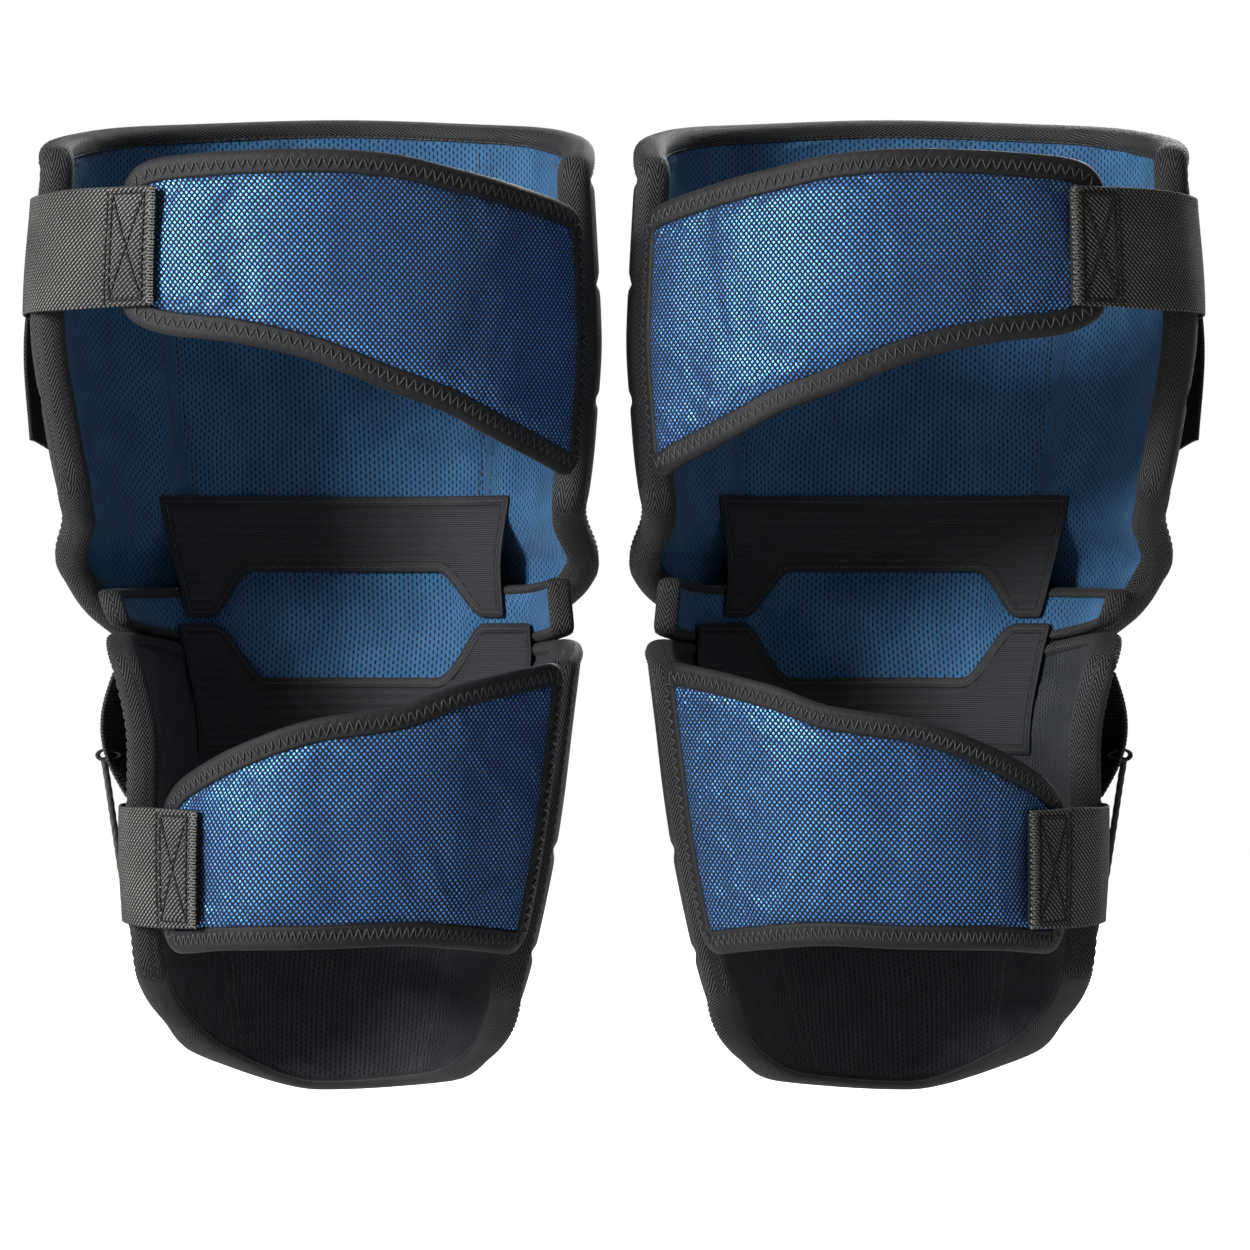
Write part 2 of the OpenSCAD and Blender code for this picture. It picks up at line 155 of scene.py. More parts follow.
def padSurfaces(a, z, inner, outer):
    # Verts, faces and UVs of a pad: the leg's surface at depths inner and outer, joined at their rim.
    n, m = a.shape
    top, low = legPoint(a, z, outer), legPoint(a, z, inner)
    rim = np.zeros((n, m), bool)
    rim[[0, -1]] = True
    rim[:, [0, -1]] = True
    indexTop = np.arange(n * m).reshape(n, m)
    indexLow = np.where(rim, indexTop, 0)
    indexLow[~rim] = n * m + np.arange((~rim).sum())
    verts = np.concatenate([top.reshape(-1, 3), low[~rim]])
    uv = np.stack([lengths(top, 0), np.asarray(z) * mm], -1)
    uv[..., 0] -= uv[n // 2, :, 0]
    faces = np.concatenate([quads(indexTop), quads(indexLow)[:, ::-1]])
    corner = np.concatenate([quadUv(uv), quadUv(uv)[:, ::-1]])
    return verts, faces, corner


def sweep(rings, along, closed):
    # Verts, faces and UVs of rings of points; a closed sweep joins its last ring to its first.
    # An open one gets a fan of faces round the mean point of each end ring.
    n, m, _ = rings.shape
    index = np.arange(n * m).reshape(n, m)
    index = np.concatenate([index, index[:, :1]], 1)
    v = lengths(np.concatenate([rings, rings[:, :1]], 1), 1)
    verts = rings.reshape(-1, 3)
    if closed:
        index, v = np.concatenate([index, index[:1]]), np.concatenate([v, v[:1]])
    faces, corner = quads(index), quadUv(np.stack([np.broadcast_to(along[:, None], v.shape), v], -1))
    if not closed:
        verts = np.concatenate([verts, [rings[0].mean(0), rings[-1].mean(0)]])
        for row, centre in ((index[0, ::-1], n * m), (index[-1], n * m + 1)):
            middle = np.full(m, centre)
            faces = np.concatenate([faces, np.stack([row[:-1], row[1:], middle, middle], -1)])
        corner = np.concatenate([corner, np.zeros((2 * m, 4, 2))])
    return verts, faces, corner


sides = {"left": 1, "right": -1}


def bothSides(name, made, part, slot, node, material, bend=None):
    # The piece for the left guard, and its mirror image for the right one. With bend, it rides on no
    # body and its place is baked into its mesh.
    verts, faces, corner = made
    out = []
    for side, sign in sides.items():
        placed = verts * np.array([sign, 1, 1])
        nodes = [f"{side}_{node}"] if node else []
        body = None if bend else f"{side}_{part}"
        piece = newObject(f"{side}_{name}", placed, faces, corner, body, slot, nodes)
        piece.data.materials.append(material)
        if bend:
            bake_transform(piece)
        out.append(piece)
    return out


def cluster(n, amount=0.8):
    # n shares from 0 to 1 that lie closer together near both ends: t - k sin(2 pi t) / 2 pi.
    t = np.linspace(0, 1, n)
    return t - amount * np.sin(2 * math.pi * t) / (2 * math.pi)


def edgeRise(a, z, width):
    # Round edge profile: 0 at the rim, and 1 from width mm inside it.
    points = legPoint(a, z, 5)
    u, v = lengths(points, 0) / mm, lengths(points, 1) / mm
    near = np.minimum(np.minimum(u, u[-1:] - u), np.minimum(v, v[:, -1:] - v))
    return np.sqrt(np.clip(1 - (1 - np.clip(near / width, 0, 1)) ** 2, 0, 1))


waveTable = np.random.default_rng(7).normal(size=(24, 4))


def ripples(a, z, scale):
    # A sum of 24 fixed sine waves over the leg's surface, about -1 to 1, with wavelengths near scale mm.
    x, total = np.asarray(a) * mmPerDegree, 0
    for wave in waveTable:
        k = 2 * math.pi / scale * (0.5 + 0.35 * abs(wave[2]))
        total = total + np.sin(k * (x * math.cos(wave[0] * 3) + z * math.sin(wave[0] * 3)) + wave[1] * 9)
    return total / 7


# material kit
class Field:
    # A number in a node tree; + - * / on it add Math nodes.

    def __init__(self, tree, socket):
        self.tree, self.socket = tree, socket

    def op(self, name, *others):
        node = self.tree.nodes.new("ShaderNodeMath")
        node.operation = name
        for k, value in enumerate((self, *others)):
            if isinstance(value, Field):
                self.tree.links.new(value.socket, node.inputs[k])
            else:
                node.inputs[k].default_value = value
        return Field(self.tree, node.outputs[0])

    def __add__(self, other):
        return self.op("ADD", other)

    def __sub__(self, other):
        return self.op("SUBTRACT", other)

    def __mul__(self, other):
        return self.op("MULTIPLY", other)

    def __truediv__(self, other):
        return self.op("DIVIDE", other)

    def sin(self):
        return self.op("SINE")

    def abs(self):
        return self.op("ABSOLUTE")

    def fract(self):
        return self.op("FRACT")

    def floor(self):
        return self.op("FLOOR")

    def max(self, other):
        return self.op("MAXIMUM", other)

    def power(self, other):
        return self.op("POWER", other)

    def invert(self):
        return (self * -1) + 1

    def ramp(self, low, high):
        # 3t^2 - 2t^3 of its share t of the way from low to high.
        node = self.tree.nodes.new("ShaderNodeMapRange")
        node.interpolation_type = "SMOOTHSTEP"
        self.tree.links.new(self.socket, node.inputs["Value"])
        node.inputs["From Min"].default_value = low
        node.inputs["From Max"].default_value = high
        return Field(self.tree, node.outputs[0])

    def wave(self):
        # A triangle wave of period 1: 1 at whole numbers and 0 halfway between them.
        return ((self.fract() - 0.5) * 2).abs()


class Finish:
    # A principled material with helpers for colour, noise and bump.

    def __init__(self, name, base, roughness=0.8, **sockets):
        self.material = bpy.data.materials.new(name)
        self.material.use_nodes = True
        self.tree = self.material.node_tree
        self.bsdf = self.tree.nodes["Principled BSDF"]
        self.bsdf.inputs["Base Color"].default_value = (*base, 1)
        self.bsdf.inputs["Roughness"].default_value = roughness
        self.bsdf.inputs["Specular IOR Level"].default_value = 0.2
        for key, value in sockets.items():
            self.bsdf.inputs[key.replace("_", " ")].default_value = value
        self.bumps = None

    def uv(self):
        # Millimetres along and across the cloth.
        node = self.tree.nodes.new("ShaderNodeUVMap")
        node.uv_map = "cloth"
        split = self.tree.nodes.new("ShaderNodeSeparateXYZ")
        self.tree.links.new(node.outputs[0], split.inputs[0])
        return Field(self.tree, split.outputs[0]) * 1000, Field(self.tree, split.outputs[1]) * 1000

    def place(self):
        # Object coordinates, in metres.
        return self.tree.nodes.new("ShaderNodeTexCoord").outputs["Object"]

    def noise(self, scale, detail=3, rough=0.55):
        node = self.tree.nodes.new("ShaderNodeTexNoise")
        node.inputs["Scale"].default_value = scale
        node.inputs["Detail"].default_value = detail
        node.inputs["Roughness"].default_value = rough
        self.tree.links.new(self.place(), node.inputs["Vector"])
        return Field(self.tree, node.outputs["Fac"])

    def cells(self, scale):
        # Distance from the nearest of many scattered points.
        node = self.tree.nodes.new("ShaderNodeTexVoronoi")
        node.inputs["Scale"].default_value = scale
        self.tree.links.new(self.place(), node.inputs["Vector"])
        return Field(self.tree, node.outputs["Distance"])

    def blend(self, factor, first, second):
        # first where factor is 0, second where it is 1; each a colour or a socket.
        node = self.tree.nodes.new("ShaderNodeMix")
        node.data_type = "RGBA"
        self.tree.links.new(factor.socket, node.inputs[0])
        for slotIndex, value in ((6, first), (7, second)):
            if isinstance(value, tuple):
                node.inputs[slotIndex].default_value = (*value, 1)
            else:
                self.tree.links.new(value, node.inputs[slotIndex])
        return node.outputs[2]

    def colour(self, socket):
        self.tree.links.new(socket, self.bsdf.inputs["Base Color"])

    def roughness(self, field):
        self.tree.links.new(field.socket, self.bsdf.inputs["Roughness"])

    def metal(self, field):
        self.tree.links.new(field.socket, self.bsdf.inputs["Metallic"])

    def bump(self, field, depth, strength=1.0):
        # Adds a bump of depth metres on top of those before it.
        node = self.tree.nodes.new("ShaderNodeBump")
        node.inputs["Strength"].default_value = strength
        node.inputs["Distance"].default_value = depth
        self.tree.links.new(field.socket, node.inputs["Height"])
        if self.bumps:
            self.tree.links.new(self.bumps, node.inputs["Normal"])
        self.bumps = node.outputs["Normal"]
        self.tree.links.new(self.bumps, self.bsdf.inputs["Normal"])


# domeHighlight is a painted highlight: the pale blue given to the top of each dome of the air mesh
airMesh = {"pitch": 2.5, "squash": 0.92, "base": (0.03, 0.16, 0.5), "deep": (0.006, 0.084, 0.36),
           "domeHighlight": (0.13, 0.42, 0.95), "thread": (0.0012, 0.0015, 0.003)}


def blueMesh():
    # Air mesh: black threads where u + 0.92 v or u - 0.92 v is a whole number of pitches, and between
    # them domes of glossy blue fibre, the product of 1 - wave^2 of both.
    # Each dome's colour runs from deep blue at its foot to a painted highlight of pale blue at its top.
    f = Finish("blueMesh", airMesh["base"], 0.3, Specular_IOR_Level=0.4)
    u, v = f.uv()
    lean = v * airMesh["squash"]
    p, q = (u + lean) / airMesh["pitch"], (u - lean) / airMesh["pitch"]
    lines = p.wave().max(q.wave())
    thread = lines.ramp(0.50, 0.60)
    dome = (p.wave().power(2).invert()) * (q.wave().power(2).invert())
    patch = f.noise(38, 2).ramp(0.3, 0.7)
    fibre = f.noise(900, 2).ramp(0.35, 0.75)
    # painted highlight: deep blue at each dome's foot, pale blue at its top
    cell = f.blend(dome.ramp(0.1, 0.95) * (fibre * 0.4 + 0.6), airMesh["deep"], airMesh["domeHighlight"])
    cell = f.blend(patch * 0.35, cell, airMesh["deep"])
    f.colour(f.blend(thread, cell, airMesh["thread"]))
    f.roughness(thread * 0.5 + 0.38)
    f.metal(thread.invert() * 0.65)
    f.bump(dome * 0.5 + thread * 0.35, 0.0005, 0.8)
    f.bump(fibre, 0.00012, 0.5)
    return f.material


def knit(name, base, dark, slitShade, pitch=(2.1, 3.0)):
    # Smooth knit with staggered upright slits: the ellipse (x / 0.42)^2 + (y / 0.95)^2 < 1, in mm from
    # the middle of each cell of a brick pattern.
    # The slits are painted near-black: painted shade in the holes.
    f = Finish(name, base, 0.85, Sheen_Weight=0.05, Sheen_Roughness=0.5)
    u, v = f.uv()
    column = u / pitch[0]
    shift = column.floor() * 0.5
    x = (column.fract() - 0.5) * pitch[0]
    y = ((v / pitch[1] + shift).fract() - 0.5) * pitch[1]
    reach = ((x / 0.42).power(2) + (y / 0.95).power(2)).power(0.5)
    slit = reach.ramp(0.7, 1.25).invert()
    rib = ((u / 0.7).wave()) * 0.5 + (v / 0.45).wave() * 0.3
    cloth = f.blend(f.noise(60, 3).ramp(0.3, 0.75), dark, base)
    # painted shade: each slit is coloured near-black
    f.colour(f.blend(slit, cloth, slitShade))
    f.bump(slit * -1.0, 0.0005, 0.8)
    f.bump(rib, 0.00012, 0.6)
    return f.material


def weave(name, base, light, pitch, depth=0.0002, rough=0.7, sheen=0.03):
    # Plain weave: |sin(pi u / pitch)| where the product of that sine and the same one of v is above 0,
    # and |sin(pi v / pitch)| where it is below.
    f = Finish(name, base, rough, Sheen_Weight=sheen, Sheen_Roughness=0.4)
    u, v = f.uv()
    a, b = (u * (math.pi / pitch)).sin(), (v * (math.pi / pitch)).sin()
    cross = a * b
    body = cross.ramp(-0.3, 0.3) * a.abs() + cross.ramp(-0.3, 0.3).invert() * b.abs()
    wear = f.noise(25, 4).ramp(0.35, 0.8)
    f.colour(f.blend(body * 0.6 + wear * 0.4, base, light))
    f.bump(body, depth, 0.8)
    return f.material


def twill(name, base, light, pitch, zig=None, depth=0.0003, rough=0.7):
    # Diagonal ribs midway between whole numbers of (u + 0.9 v) / pitch. With zig, a triangle wave of
    # height and period zig stands for v, for a herringbone.
    f = Finish(name, base, rough, Sheen_Weight=0.03, Sheen_Roughness=0.4)
    u, v = f.uv()
    across = (v / zig).wave() * zig if zig else v
    rib = ((u + across * 0.9) / pitch).wave().ramp(0.25, 0.75).invert()
    yarn = ((u * 0.9 - across) / 0.8).wave()
    grain = f.noise(600, 2)
    wear = f.noise(30, 4).ramp(0.3, 0.75)
    f.colour(f.blend(rib * (wear * 0.35 + 0.65) * (yarn * 0.4 + 0.6), base, light))
    f.bump(rib, depth, 1.0)
    f.bump(grain, 0.0001, 0.5)
    return f.material


elasticLook = {"rib": 2.1, "cut": 2.6, "base": (0.002, 0.002, 0.002), "dark": (0.0008, 0.0008, 0.0008),
               "light": (0.20, 0.198, 0.19)}


def elasticKnit():
    # Slanting ribs every 2.1 mm of 0.8 u + v, cut into short stitches every 2.6 mm of u - 0.7 v.
    f = Finish("elastic", elasticLook["base"], 0.75)
    u, v = f.uv()
    rib = ((u * 0.8 + v) / elasticLook["rib"]).wave().ramp(0.35, 0.72).invert()
    cut = ((u - v * 0.7) / elasticLook["cut"]).wave().ramp(0.1, 0.7)
    wear = f.noise(26, 4).ramp(0.3, 0.75)
    yarn = rib * (cut * 0.6 + 0.4)
    f.colour(f.blend(yarn * (wear * 0.4 + 0.6), elasticLook["dark"], elasticLook["light"]))
    f.bump(yarn, 0.0008, 1.0)
    f.bump(f.noise(700, 2), 0.0001, 0.5)
    return f.material


def ribbed(name, base, light, pitch):
    # Grosgrain: round ribs |sin(pi v / pitch)| with a fine weave on them.
    f = Finish(name, base, 0.65, Sheen_Weight=0.03)
    u, v = f.uv()
    rib = (v * (math.pi / pitch)).sin().abs()
    fine = (u / 0.5).wave()
    f.colour(f.blend(rib * 0.8 + fine * 0.2, base, light))
    f.bump(rib, 0.0005, 0.9)
    f.bump(fine, 0.0001, 0.5)
    return f.material


def threadFinish(name, base):
    # Twisted thread: slanting fine ribs every 0.7 mm of u + 1.2 v.
    f = Finish(name, base, 0.5, Specular_IOR_Level=0.35)
    u, v = f.uv()
    strand = ((u + v * 1.2) / 0.7).wave()
    f.colour(f.blend(strand, base, tuple(min(1, c * 2.2 + 0.01) for c in base)))
    f.bump(strand, 0.00012, 0.8)
    return f.material


def moulded(name, base, rough, grain=0.00006):
    # Moulded plastic with a fine leather grain and worn high spots.
    f = Finish(name, base, rough, Specular_IOR_Level=0.45)
    scuff = f.noise(22, 5, 0.7).ramp(0.55, 0.8)
    f.colour(f.blend(scuff * 0.5, base, tuple(min(1, c * 1.8 + 0.01) for c in base)))
    f.roughness(scuff * 0.15 + rough)
    f.bump(f.cells(700), grain, 0.7)
    return f.material


def foamFinish():
    # Closed-cell foam: about 1 mm pits.
    f = Finish("foam", (0.62, 0.62, 0.6), 0.9)
    f.bump(f.cells(900), 0.0002, 0.8)
    return f.material


finishes = {
    "blue": blueMesh(),
    # the last colour of each knit is the painted shade in its slits
    "liner": knit("linerKnit", (0.034, 0.110, 0.225), (0.022, 0.078, 0.170), (0.004, 0.010, 0.02)),
    "mesh": knit("darkMesh", (0.026, 0.028, 0.033), (0.016, 0.018, 0.022), (0.003, 0.003, 0.004),
                 (2.4, 2.4)),
    "nylon": weave("nylon", (0.008, 0.008, 0.009), (0.030, 0.030, 0.033), 0.9),
    "elastic": elasticKnit(),
    "leather": moulded("coatedCloth", (0.011, 0.011, 0.012), 0.45, 0.0001),
    "tape": weave("tape", (0.006, 0.006, 0.007), (0.018, 0.0185, 0.020), 0.55, 0.0001, 0.5),
    "roll": twill("rollBinding", (0.0015, 0.0015, 0.0015), (0.078, 0.078, 0.080), 2.2, 7.0, 0.0007),
    "twill": twill("sideTwill", (0.003, 0.003, 0.003), (0.040, 0.040, 0.043), 1.8),
    "webbing": ribbed("webbing", (0.010, 0.010, 0.012), (0.050, 0.050, 0.055), 1.5),
    "thread": threadFinish("thread", (0.026, 0.026, 0.027)),
    "blackThread": threadFinish("blackThread", (0.0015, 0.0015, 0.0015)),
    "paleThread": threadFinish("paleThread", (0.080, 0.078, 0.072)),
    "cord": threadFinish("cordBraid", (0.010, 0.010, 0.012)),
    "cap": moulded("capShell", (0.013, 0.013, 0.015), 0.3, 0.00003),
    "plate": moulded("innerPlate", (0.7, 0.7, 0.68), 0.5),
    "stretch": ribbed("stretchCloth", (0.010, 0.010, 0.012), (0.035, 0.036, 0.04), 0.9),
    "foam": foamFinish(),
    "hook": weave("hookTape", (0.008, 0.008, 0.009), (0.03, 0.03, 0.033), 0.7, 0.0004, 0.6),
}
for side in sides:
    for part in ("thigh", "calf"):
        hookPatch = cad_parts[f"{side}_{part}_hooks"].data
        hookPatch.materials.clear()
        hookPatch.materials.append(finishes["hook"])
print("materials made")

# cords
cord = {"diameter": 3.0, "strands": 3, "twist": 5.0, "ridge": 0.16}
cordRoute = np.array([
    [-220, 21, -57], [-218.5, 21, -66], [-217, 21, -76], [-215.5, 21, -86], [-214, 21, -96],
    [-212.5, 21, -106], [-210.5, 20.5, -116], [-208.5, 20, -126], [-206, 19, -136], [-203, 18, -145],
    [-200, 17, -153]], float)


def resample(points, count, closed=False):
    # count points evenly spaced along a line of points.
    points = np.concatenate([points, points[:1]]) if closed else points
    along = np.concatenate([[0], np.cumsum(np.linalg.norm(np.diff(points, axis=0), axis=1))])
    at = np.linspace(0, along[-1], count + 1)[:-1] if closed else np.linspace(0, along[-1], count)
    return np.stack([np.interp(at, along, points[:, k]) for k in range(points.shape[1])], 1), at


def frameAlong(line):
    # Unit tangent and two unit normals at each point of a line.
    tangent = np.gradient(line, axis=0)
    tangent /= np.linalg.norm(tangent, axis=1, keepdims=True)
    helper = np.where(np.abs(tangent[:, 1:2]) < 0.9, [[0, 1, 0]], [[1, 0, 0]])
    normal = np.cross(tangent, helper)
    normal /= np.linalg.norm(normal, axis=1, keepdims=True)
    return tangent, normal, np.cross(tangent, normal)


def spokes(x, y, w):
    # Unit vectors x cos w + y sin w for each point and each angle w.
    return np.cos(w)[None, :, None] * x[:, None] + np.sin(w)[None, :, None] * y[:, None]


def turns(count):
    # count angles evenly round a circle.
    return np.arange(count) * 2 * math.pi / count


def tube(line, radius, around, ridge=0.0, strands=3, twist=5.0):
    # Radius r (1 - ridge (1 - |cos(strands w / 2 - pi s / twist)|)) at angle w, s mm along a line.
    _, x, y = frameAlong(line)
    along = np.concatenate([[0], np.cumsum(np.linalg.norm(np.diff(line, axis=0), axis=1))])
    w = turns(around)
    wave = np.abs(np.cos(strands * w[None, :] / 2 - math.pi * along[:, None] / (twist * mm)))
    r = radius * (1 - ridge * (1 - wave))
    return sweep(line[:, None] + r[..., None] * spokes(x, y, w), along, False)


for side, sign in sides.items():
    line, _ = resample(cordRoute, 120)
    line = line * mm * np.array([sign, 1, 1])
    braid = tube(line, cord["diameter"] / 2 * mm, 18, cord["ridge"], cord["strands"], cord["twist"])
    rope = newObject(f"{side}_elastic_cord", *braid, f"{side}_shin", "cord", [f"{side}_cord"])
    rope.data.materials.append(finishes["cord"])
print("cords made")

# fields and rims
thigh = {
    "from": -102, "to": 100, "pad": 27, "side": 12, "roll": 9.0,
    "lower": [[-102, 62], [-46, -4], [-38, 42], [38, 42], [46, 12], [100, 55]],
    "upper": [[-102, 194], [-84, 200], [-38, 212], [0, 216], [38, 212], [84, 200], [100, 190]]}
shin = {
    "from": -100, "to": 103, "pad": 24, "side": 11, "roll": 5.0,
    "upper": [[-100, -18], [-84, -8], [-46, -15], [-38, -42], [38, -42], [46, -15], [84, -11], [103, -20]],
    "lower": [[-100, -146], [-84, -158], [-46, -184], [0, -200], [46, -195], [84, -176], [103, -153]]}
knee = {
    "from": -84, "to": 84, "pad": 14, "wing": 9.5, "roll": 3.5,
    "upper": [[-84, 12], [-50, 13], [-35, 14], [-30, 28], [30, 28], [35, 14], [50, 14], [84, 17]],
    "lower": [[-84, 3], [-50, -4], [-42, -5], [-35, -24], [-30, -30], [30, -30], [35, -24], [42, -5],
              [50, -5], [84, -1]]}
lobeLift, tipLift = 13, 3.5


def frontShare(a):
    # 0 past 72 degrees on either side and 1 within 38, by 3t^2 - 2t^3.
    return smooth((72 - np.abs(a)) / 34)


def thighThick(a, z):
    # Side pad, plus the front's extra thickness above the knee's lip, from 76 to 92 mm up.
    return thigh["side"] + (thigh["pad"] - thigh["side"]) * frontShare(a) * smooth((z - 76) / 16)


def shinThick(a, z):
    # The same for the shin, thicker below the knee's lip.
    return shin["side"] + (shin["pad"] - shin["side"]) * frontShare(a) * smooth((-76 - z) / 16)


def kneeThick(a, z):
    # The pad's thickness in front, and the wings' past 35 degrees, by 3t^2 - 2t^3.
    return knee["pad"] - (knee["pad"] - knee["wing"]) * smooth((np.abs(a) - 30) / 5) + 0 * z


def thighLift(a, z):
    # The side lobes pass outside the knee's wings: a smooth step past 33 degrees and below 50 mm, and
    # a smaller one for the outer lobe's tip.
    outer = tipLift * smooth((-34 - a) / 8) * smooth((26 - z) / 18)
    return outer + lobeLift * smooth((np.abs(a) - 33) / 4) * smooth((50 - z) / 24)


def fieldGrid(field, n, m, clusterBy=0.75):
    # Grid of angles and heights over a field: low + (high - low) v between its two edges.
    a = field["from"] + (field["to"] - field["from"]) * cluster(n, clusterBy)
    v = cluster(m, clusterBy)
    low, high = curve(a, field["lower"]), curve(a, field["upper"])
    z = low[:, None] + (high - low)[:, None] * v[None, :]
    return np.broadcast_to(a[:, None], z.shape), z


def rimLine(field, count, corner=5.0):
    # The field's edge as an evenly spaced closed line in (degrees, mm), its corners rounded by a
    # moving mean.
    a = np.linspace(field["from"], field["to"], 240)
    low, high = curve(a, field["lower"]), curve(a, field["upper"])
    up = np.linspace(0, 1, 60)[1:-1]
    scale = np.array([mmPerDegree, 1.0])
    edge = np.concatenate([
        np.stack([a, low], 1), np.stack([0 * up + a[-1], low[-1] + (high[-1] - low[-1]) * up], 1),
        np.stack([a, high], 1)[::-1], np.stack([0 * up + a[0], high[0] + (low[0] - high[0]) * up], 1)])
    line, at = resample(edge * scale, count, True)
    total = at[-1] * count / (count - 1)
    reach = max(1, int(corner / (total / count)))
    weights = np.hanning(2 * reach + 3)
    weights /= weights.sum()
    stacked = np.concatenate([line[-reach - 1:], line, line[:reach + 1]])
    line = np.stack([np.convolve(stacked[:, k], weights, "valid") for k in range(2)], 1)
    return line / scale, total


zigzagStitch, threadSides = 4.0, 5  # mm for one zigzag, and sides of a thread's tube


def rimNormal(line, d):
    # Outward unit normal of the rim in (degrees, mm), for steps of one millimetre on the surface.
    a, z = line[:, 0], line[:, 1]
    perDegree = np.linalg.norm(legPoint(a + 0.5, z, d) - legPoint(a - 0.5, z, d), axis=1) / mm
    step = np.roll(line, -1, axis=0) - np.roll(line, 1, axis=0)
    tangent = np.stack([step[:, 0] * perDegree, step[:, 1]], 1)
    tangent /= np.linalg.norm(tangent, axis=1, keepdims=True)
    return np.stack([tangent[:, 1] / perDegree, -tangent[:, 0]], 1)


def rimPoint(line, normal, out, d):
    # Rim plus out times its normal, and d mm off the leg, for arrays of out and d per rim point.
    return legPoint(line[:, :1] + normal[:, :1] * out, line[:, 1:] + normal[:, 1:] * out, d)


def edgeRoll(line, total, low, high, inside, outside, count, power, ridge=0.0, pucker=0.0):
    # Superellipse |x|^p + |y|^p = 1 carried round a rim, between depths low and high; ridge raises two
    # bells along it, and pucker dents it by a cosine with one wave for every zigzag stitch.
    w = turns(count)
    x = np.sign(np.cos(w)) * np.abs(np.cos(w)) ** (2 / power)
    y = np.sign(np.sin(w)) * np.abs(np.sin(w)) ** (2 / power)
    middle, half = (low + high) / 2, (high - low) / 2
    out = (outside - inside) / 2 * x + (outside + inside) / 2
    lump = ridge * (np.exp(-((x + 0.8) / 0.16) ** 2) + 0.7 * np.exp(-((x - 0.5) / 0.22) ** 2)) * np.sign(y)
    d = middle[:, None] + half[:, None] * y[None, :] + lump[None, :]
    turn = 2 * math.pi * np.arange(len(line)) / len(line) * int(total / zigzagStitch)
    dent = np.abs(y) * np.sign(y) * np.exp(-((x - 0.1) / 0.5) ** 2)
    d = d + pucker * np.cos(turn)[:, None] * dent[None, :]
    normal = rimNormal(line, middle)
    rings = rimPoint(line, normal, out[None, :] + 0 * d, d)
    along = np.linspace(0, total * mm, len(line) + 1)
    return sweep(rings, along, True)


def onRoll(low, high, inside, outside, power, out, sign):
    # Depth of that skin out mm from the rim, on its inner (-1) or outer (1) side:
    # y = sign (1 - |x|^p)^(1/p).
    x = (out - (outside + inside) / 2) / ((outside - inside) / 2)
    return (low + high) / 2 + sign * (high - low) / 2 * (1 - abs(x) ** power) ** (1 / power)


def joined(parts):
    # Several meshes as one.
    verts, faces, corner = zip(*parts)
    starts = np.cumsum([0] + [len(v) for v in verts])
    shifted = [f + start for f, start in zip(faces, starts)]
    return np.concatenate(verts), np.concatenate(shifted), np.concatenate(corner)


def alongRim(share, line, normal, d):
    # Angle, height, normal and depth at shares 0 to 1 of the way round a rim, by straight lines.
    at = np.linspace(0, 1, len(line) + 1)
    columns = (line[:, 0], line[:, 1], normal[:, 0], normal[:, 1], d)
    return [np.interp(share, at, np.append(q, q[0])) for q in columns]


def stitchShares(length, stitch, gap, radius, way):
    # Six points on each stitch as shares of the length, and how far each stands off the cloth:
    # way r (1.1 sin(pi t)^0.6 - 0.5), below it at both ends.
    count = int(length / (stitch + gap))
    t = np.linspace(0, 1, 6)
    share = (np.arange(count)[:, None] + t[None, :] * stitch / (stitch + gap)) / count
    return share, way * radius * (1.1 * np.sin(math.pi * t) ** 0.6 - 0.5)


def stitchRow(line, normal, out, d, total, stitch=3.2, radius=0.28, way=1):
    # Separate stitches along a rim, out mm outside it.
    share, lift = stitchShares(total, stitch, 1.0, radius, way)
    a, z, na, nz, depth = alongRim(share, line, normal, d)
    points = legPoint(a + na * out, z + nz * out, depth + lift[None, :])
    return joined([tube(p, radius * mm, threadSides) for p in points])


def stitchPath(a, z, d, stitch=3.2, gap=1.0, radius=0.28, way=1):
    # The same stitches along an open line of angles, heights and depths.
    step = np.linalg.norm(np.diff(legPoint(a, z, d), axis=0), axis=1)
    along = np.concatenate([[0], np.cumsum(step)]) / mm
    share, lift = stitchShares(along[-1], stitch, gap, radius, way)
    at = share * along[-1]
    points = legPoint(np.interp(at, along, a), np.interp(at, along, z), np.interp(at, along, d) + lift)
    return joined([tube(p, radius * mm, threadSides) for p in points])


def seamRows(a, z, d, angles, way):
    # Two rows of stitches 2 degrees beside each seam, at depth d between a grid's own columns.
    rows = []
    for angle in [seam + side for seam in angles for side in (-2.0, 2.0)]:
        row = np.interp(angle, a[:, 0], np.arange(len(a)))
        i, share = int(row), row - int(row)
        skin, height = (g[i] + (g[i + 1] - g[i]) * share for g in (d + 0 * a, z))
        skin, height = skin[6:-6], height[6:-6]
        rows.append(stitchPath(0 * height + angle, height, skin, way=way))
    return joined(rows)


def zigzag(line, normal, middle, halfWidth, d, total, radius):
    # One thread that crosses the tape in a triangle wave t and dips where it turns, by 1.3 r t^6.
    count = int(total / zigzagStitch)
    share = np.arange(count * 8) / (count * 8)
    a, z, na, nz, depth = alongRim(share, line, normal, d)
    phase = share * count
    side = 1 - 4 * np.abs(phase % 1 - 0.5)
    out = middle + halfWidth * np.clip(side * 1.08, -1, 1)
    lift = radius * (0.9 - 1.3 * np.abs(side) ** 6)
    return legPoint(a + na * out, z + nz * out, depth + lift)


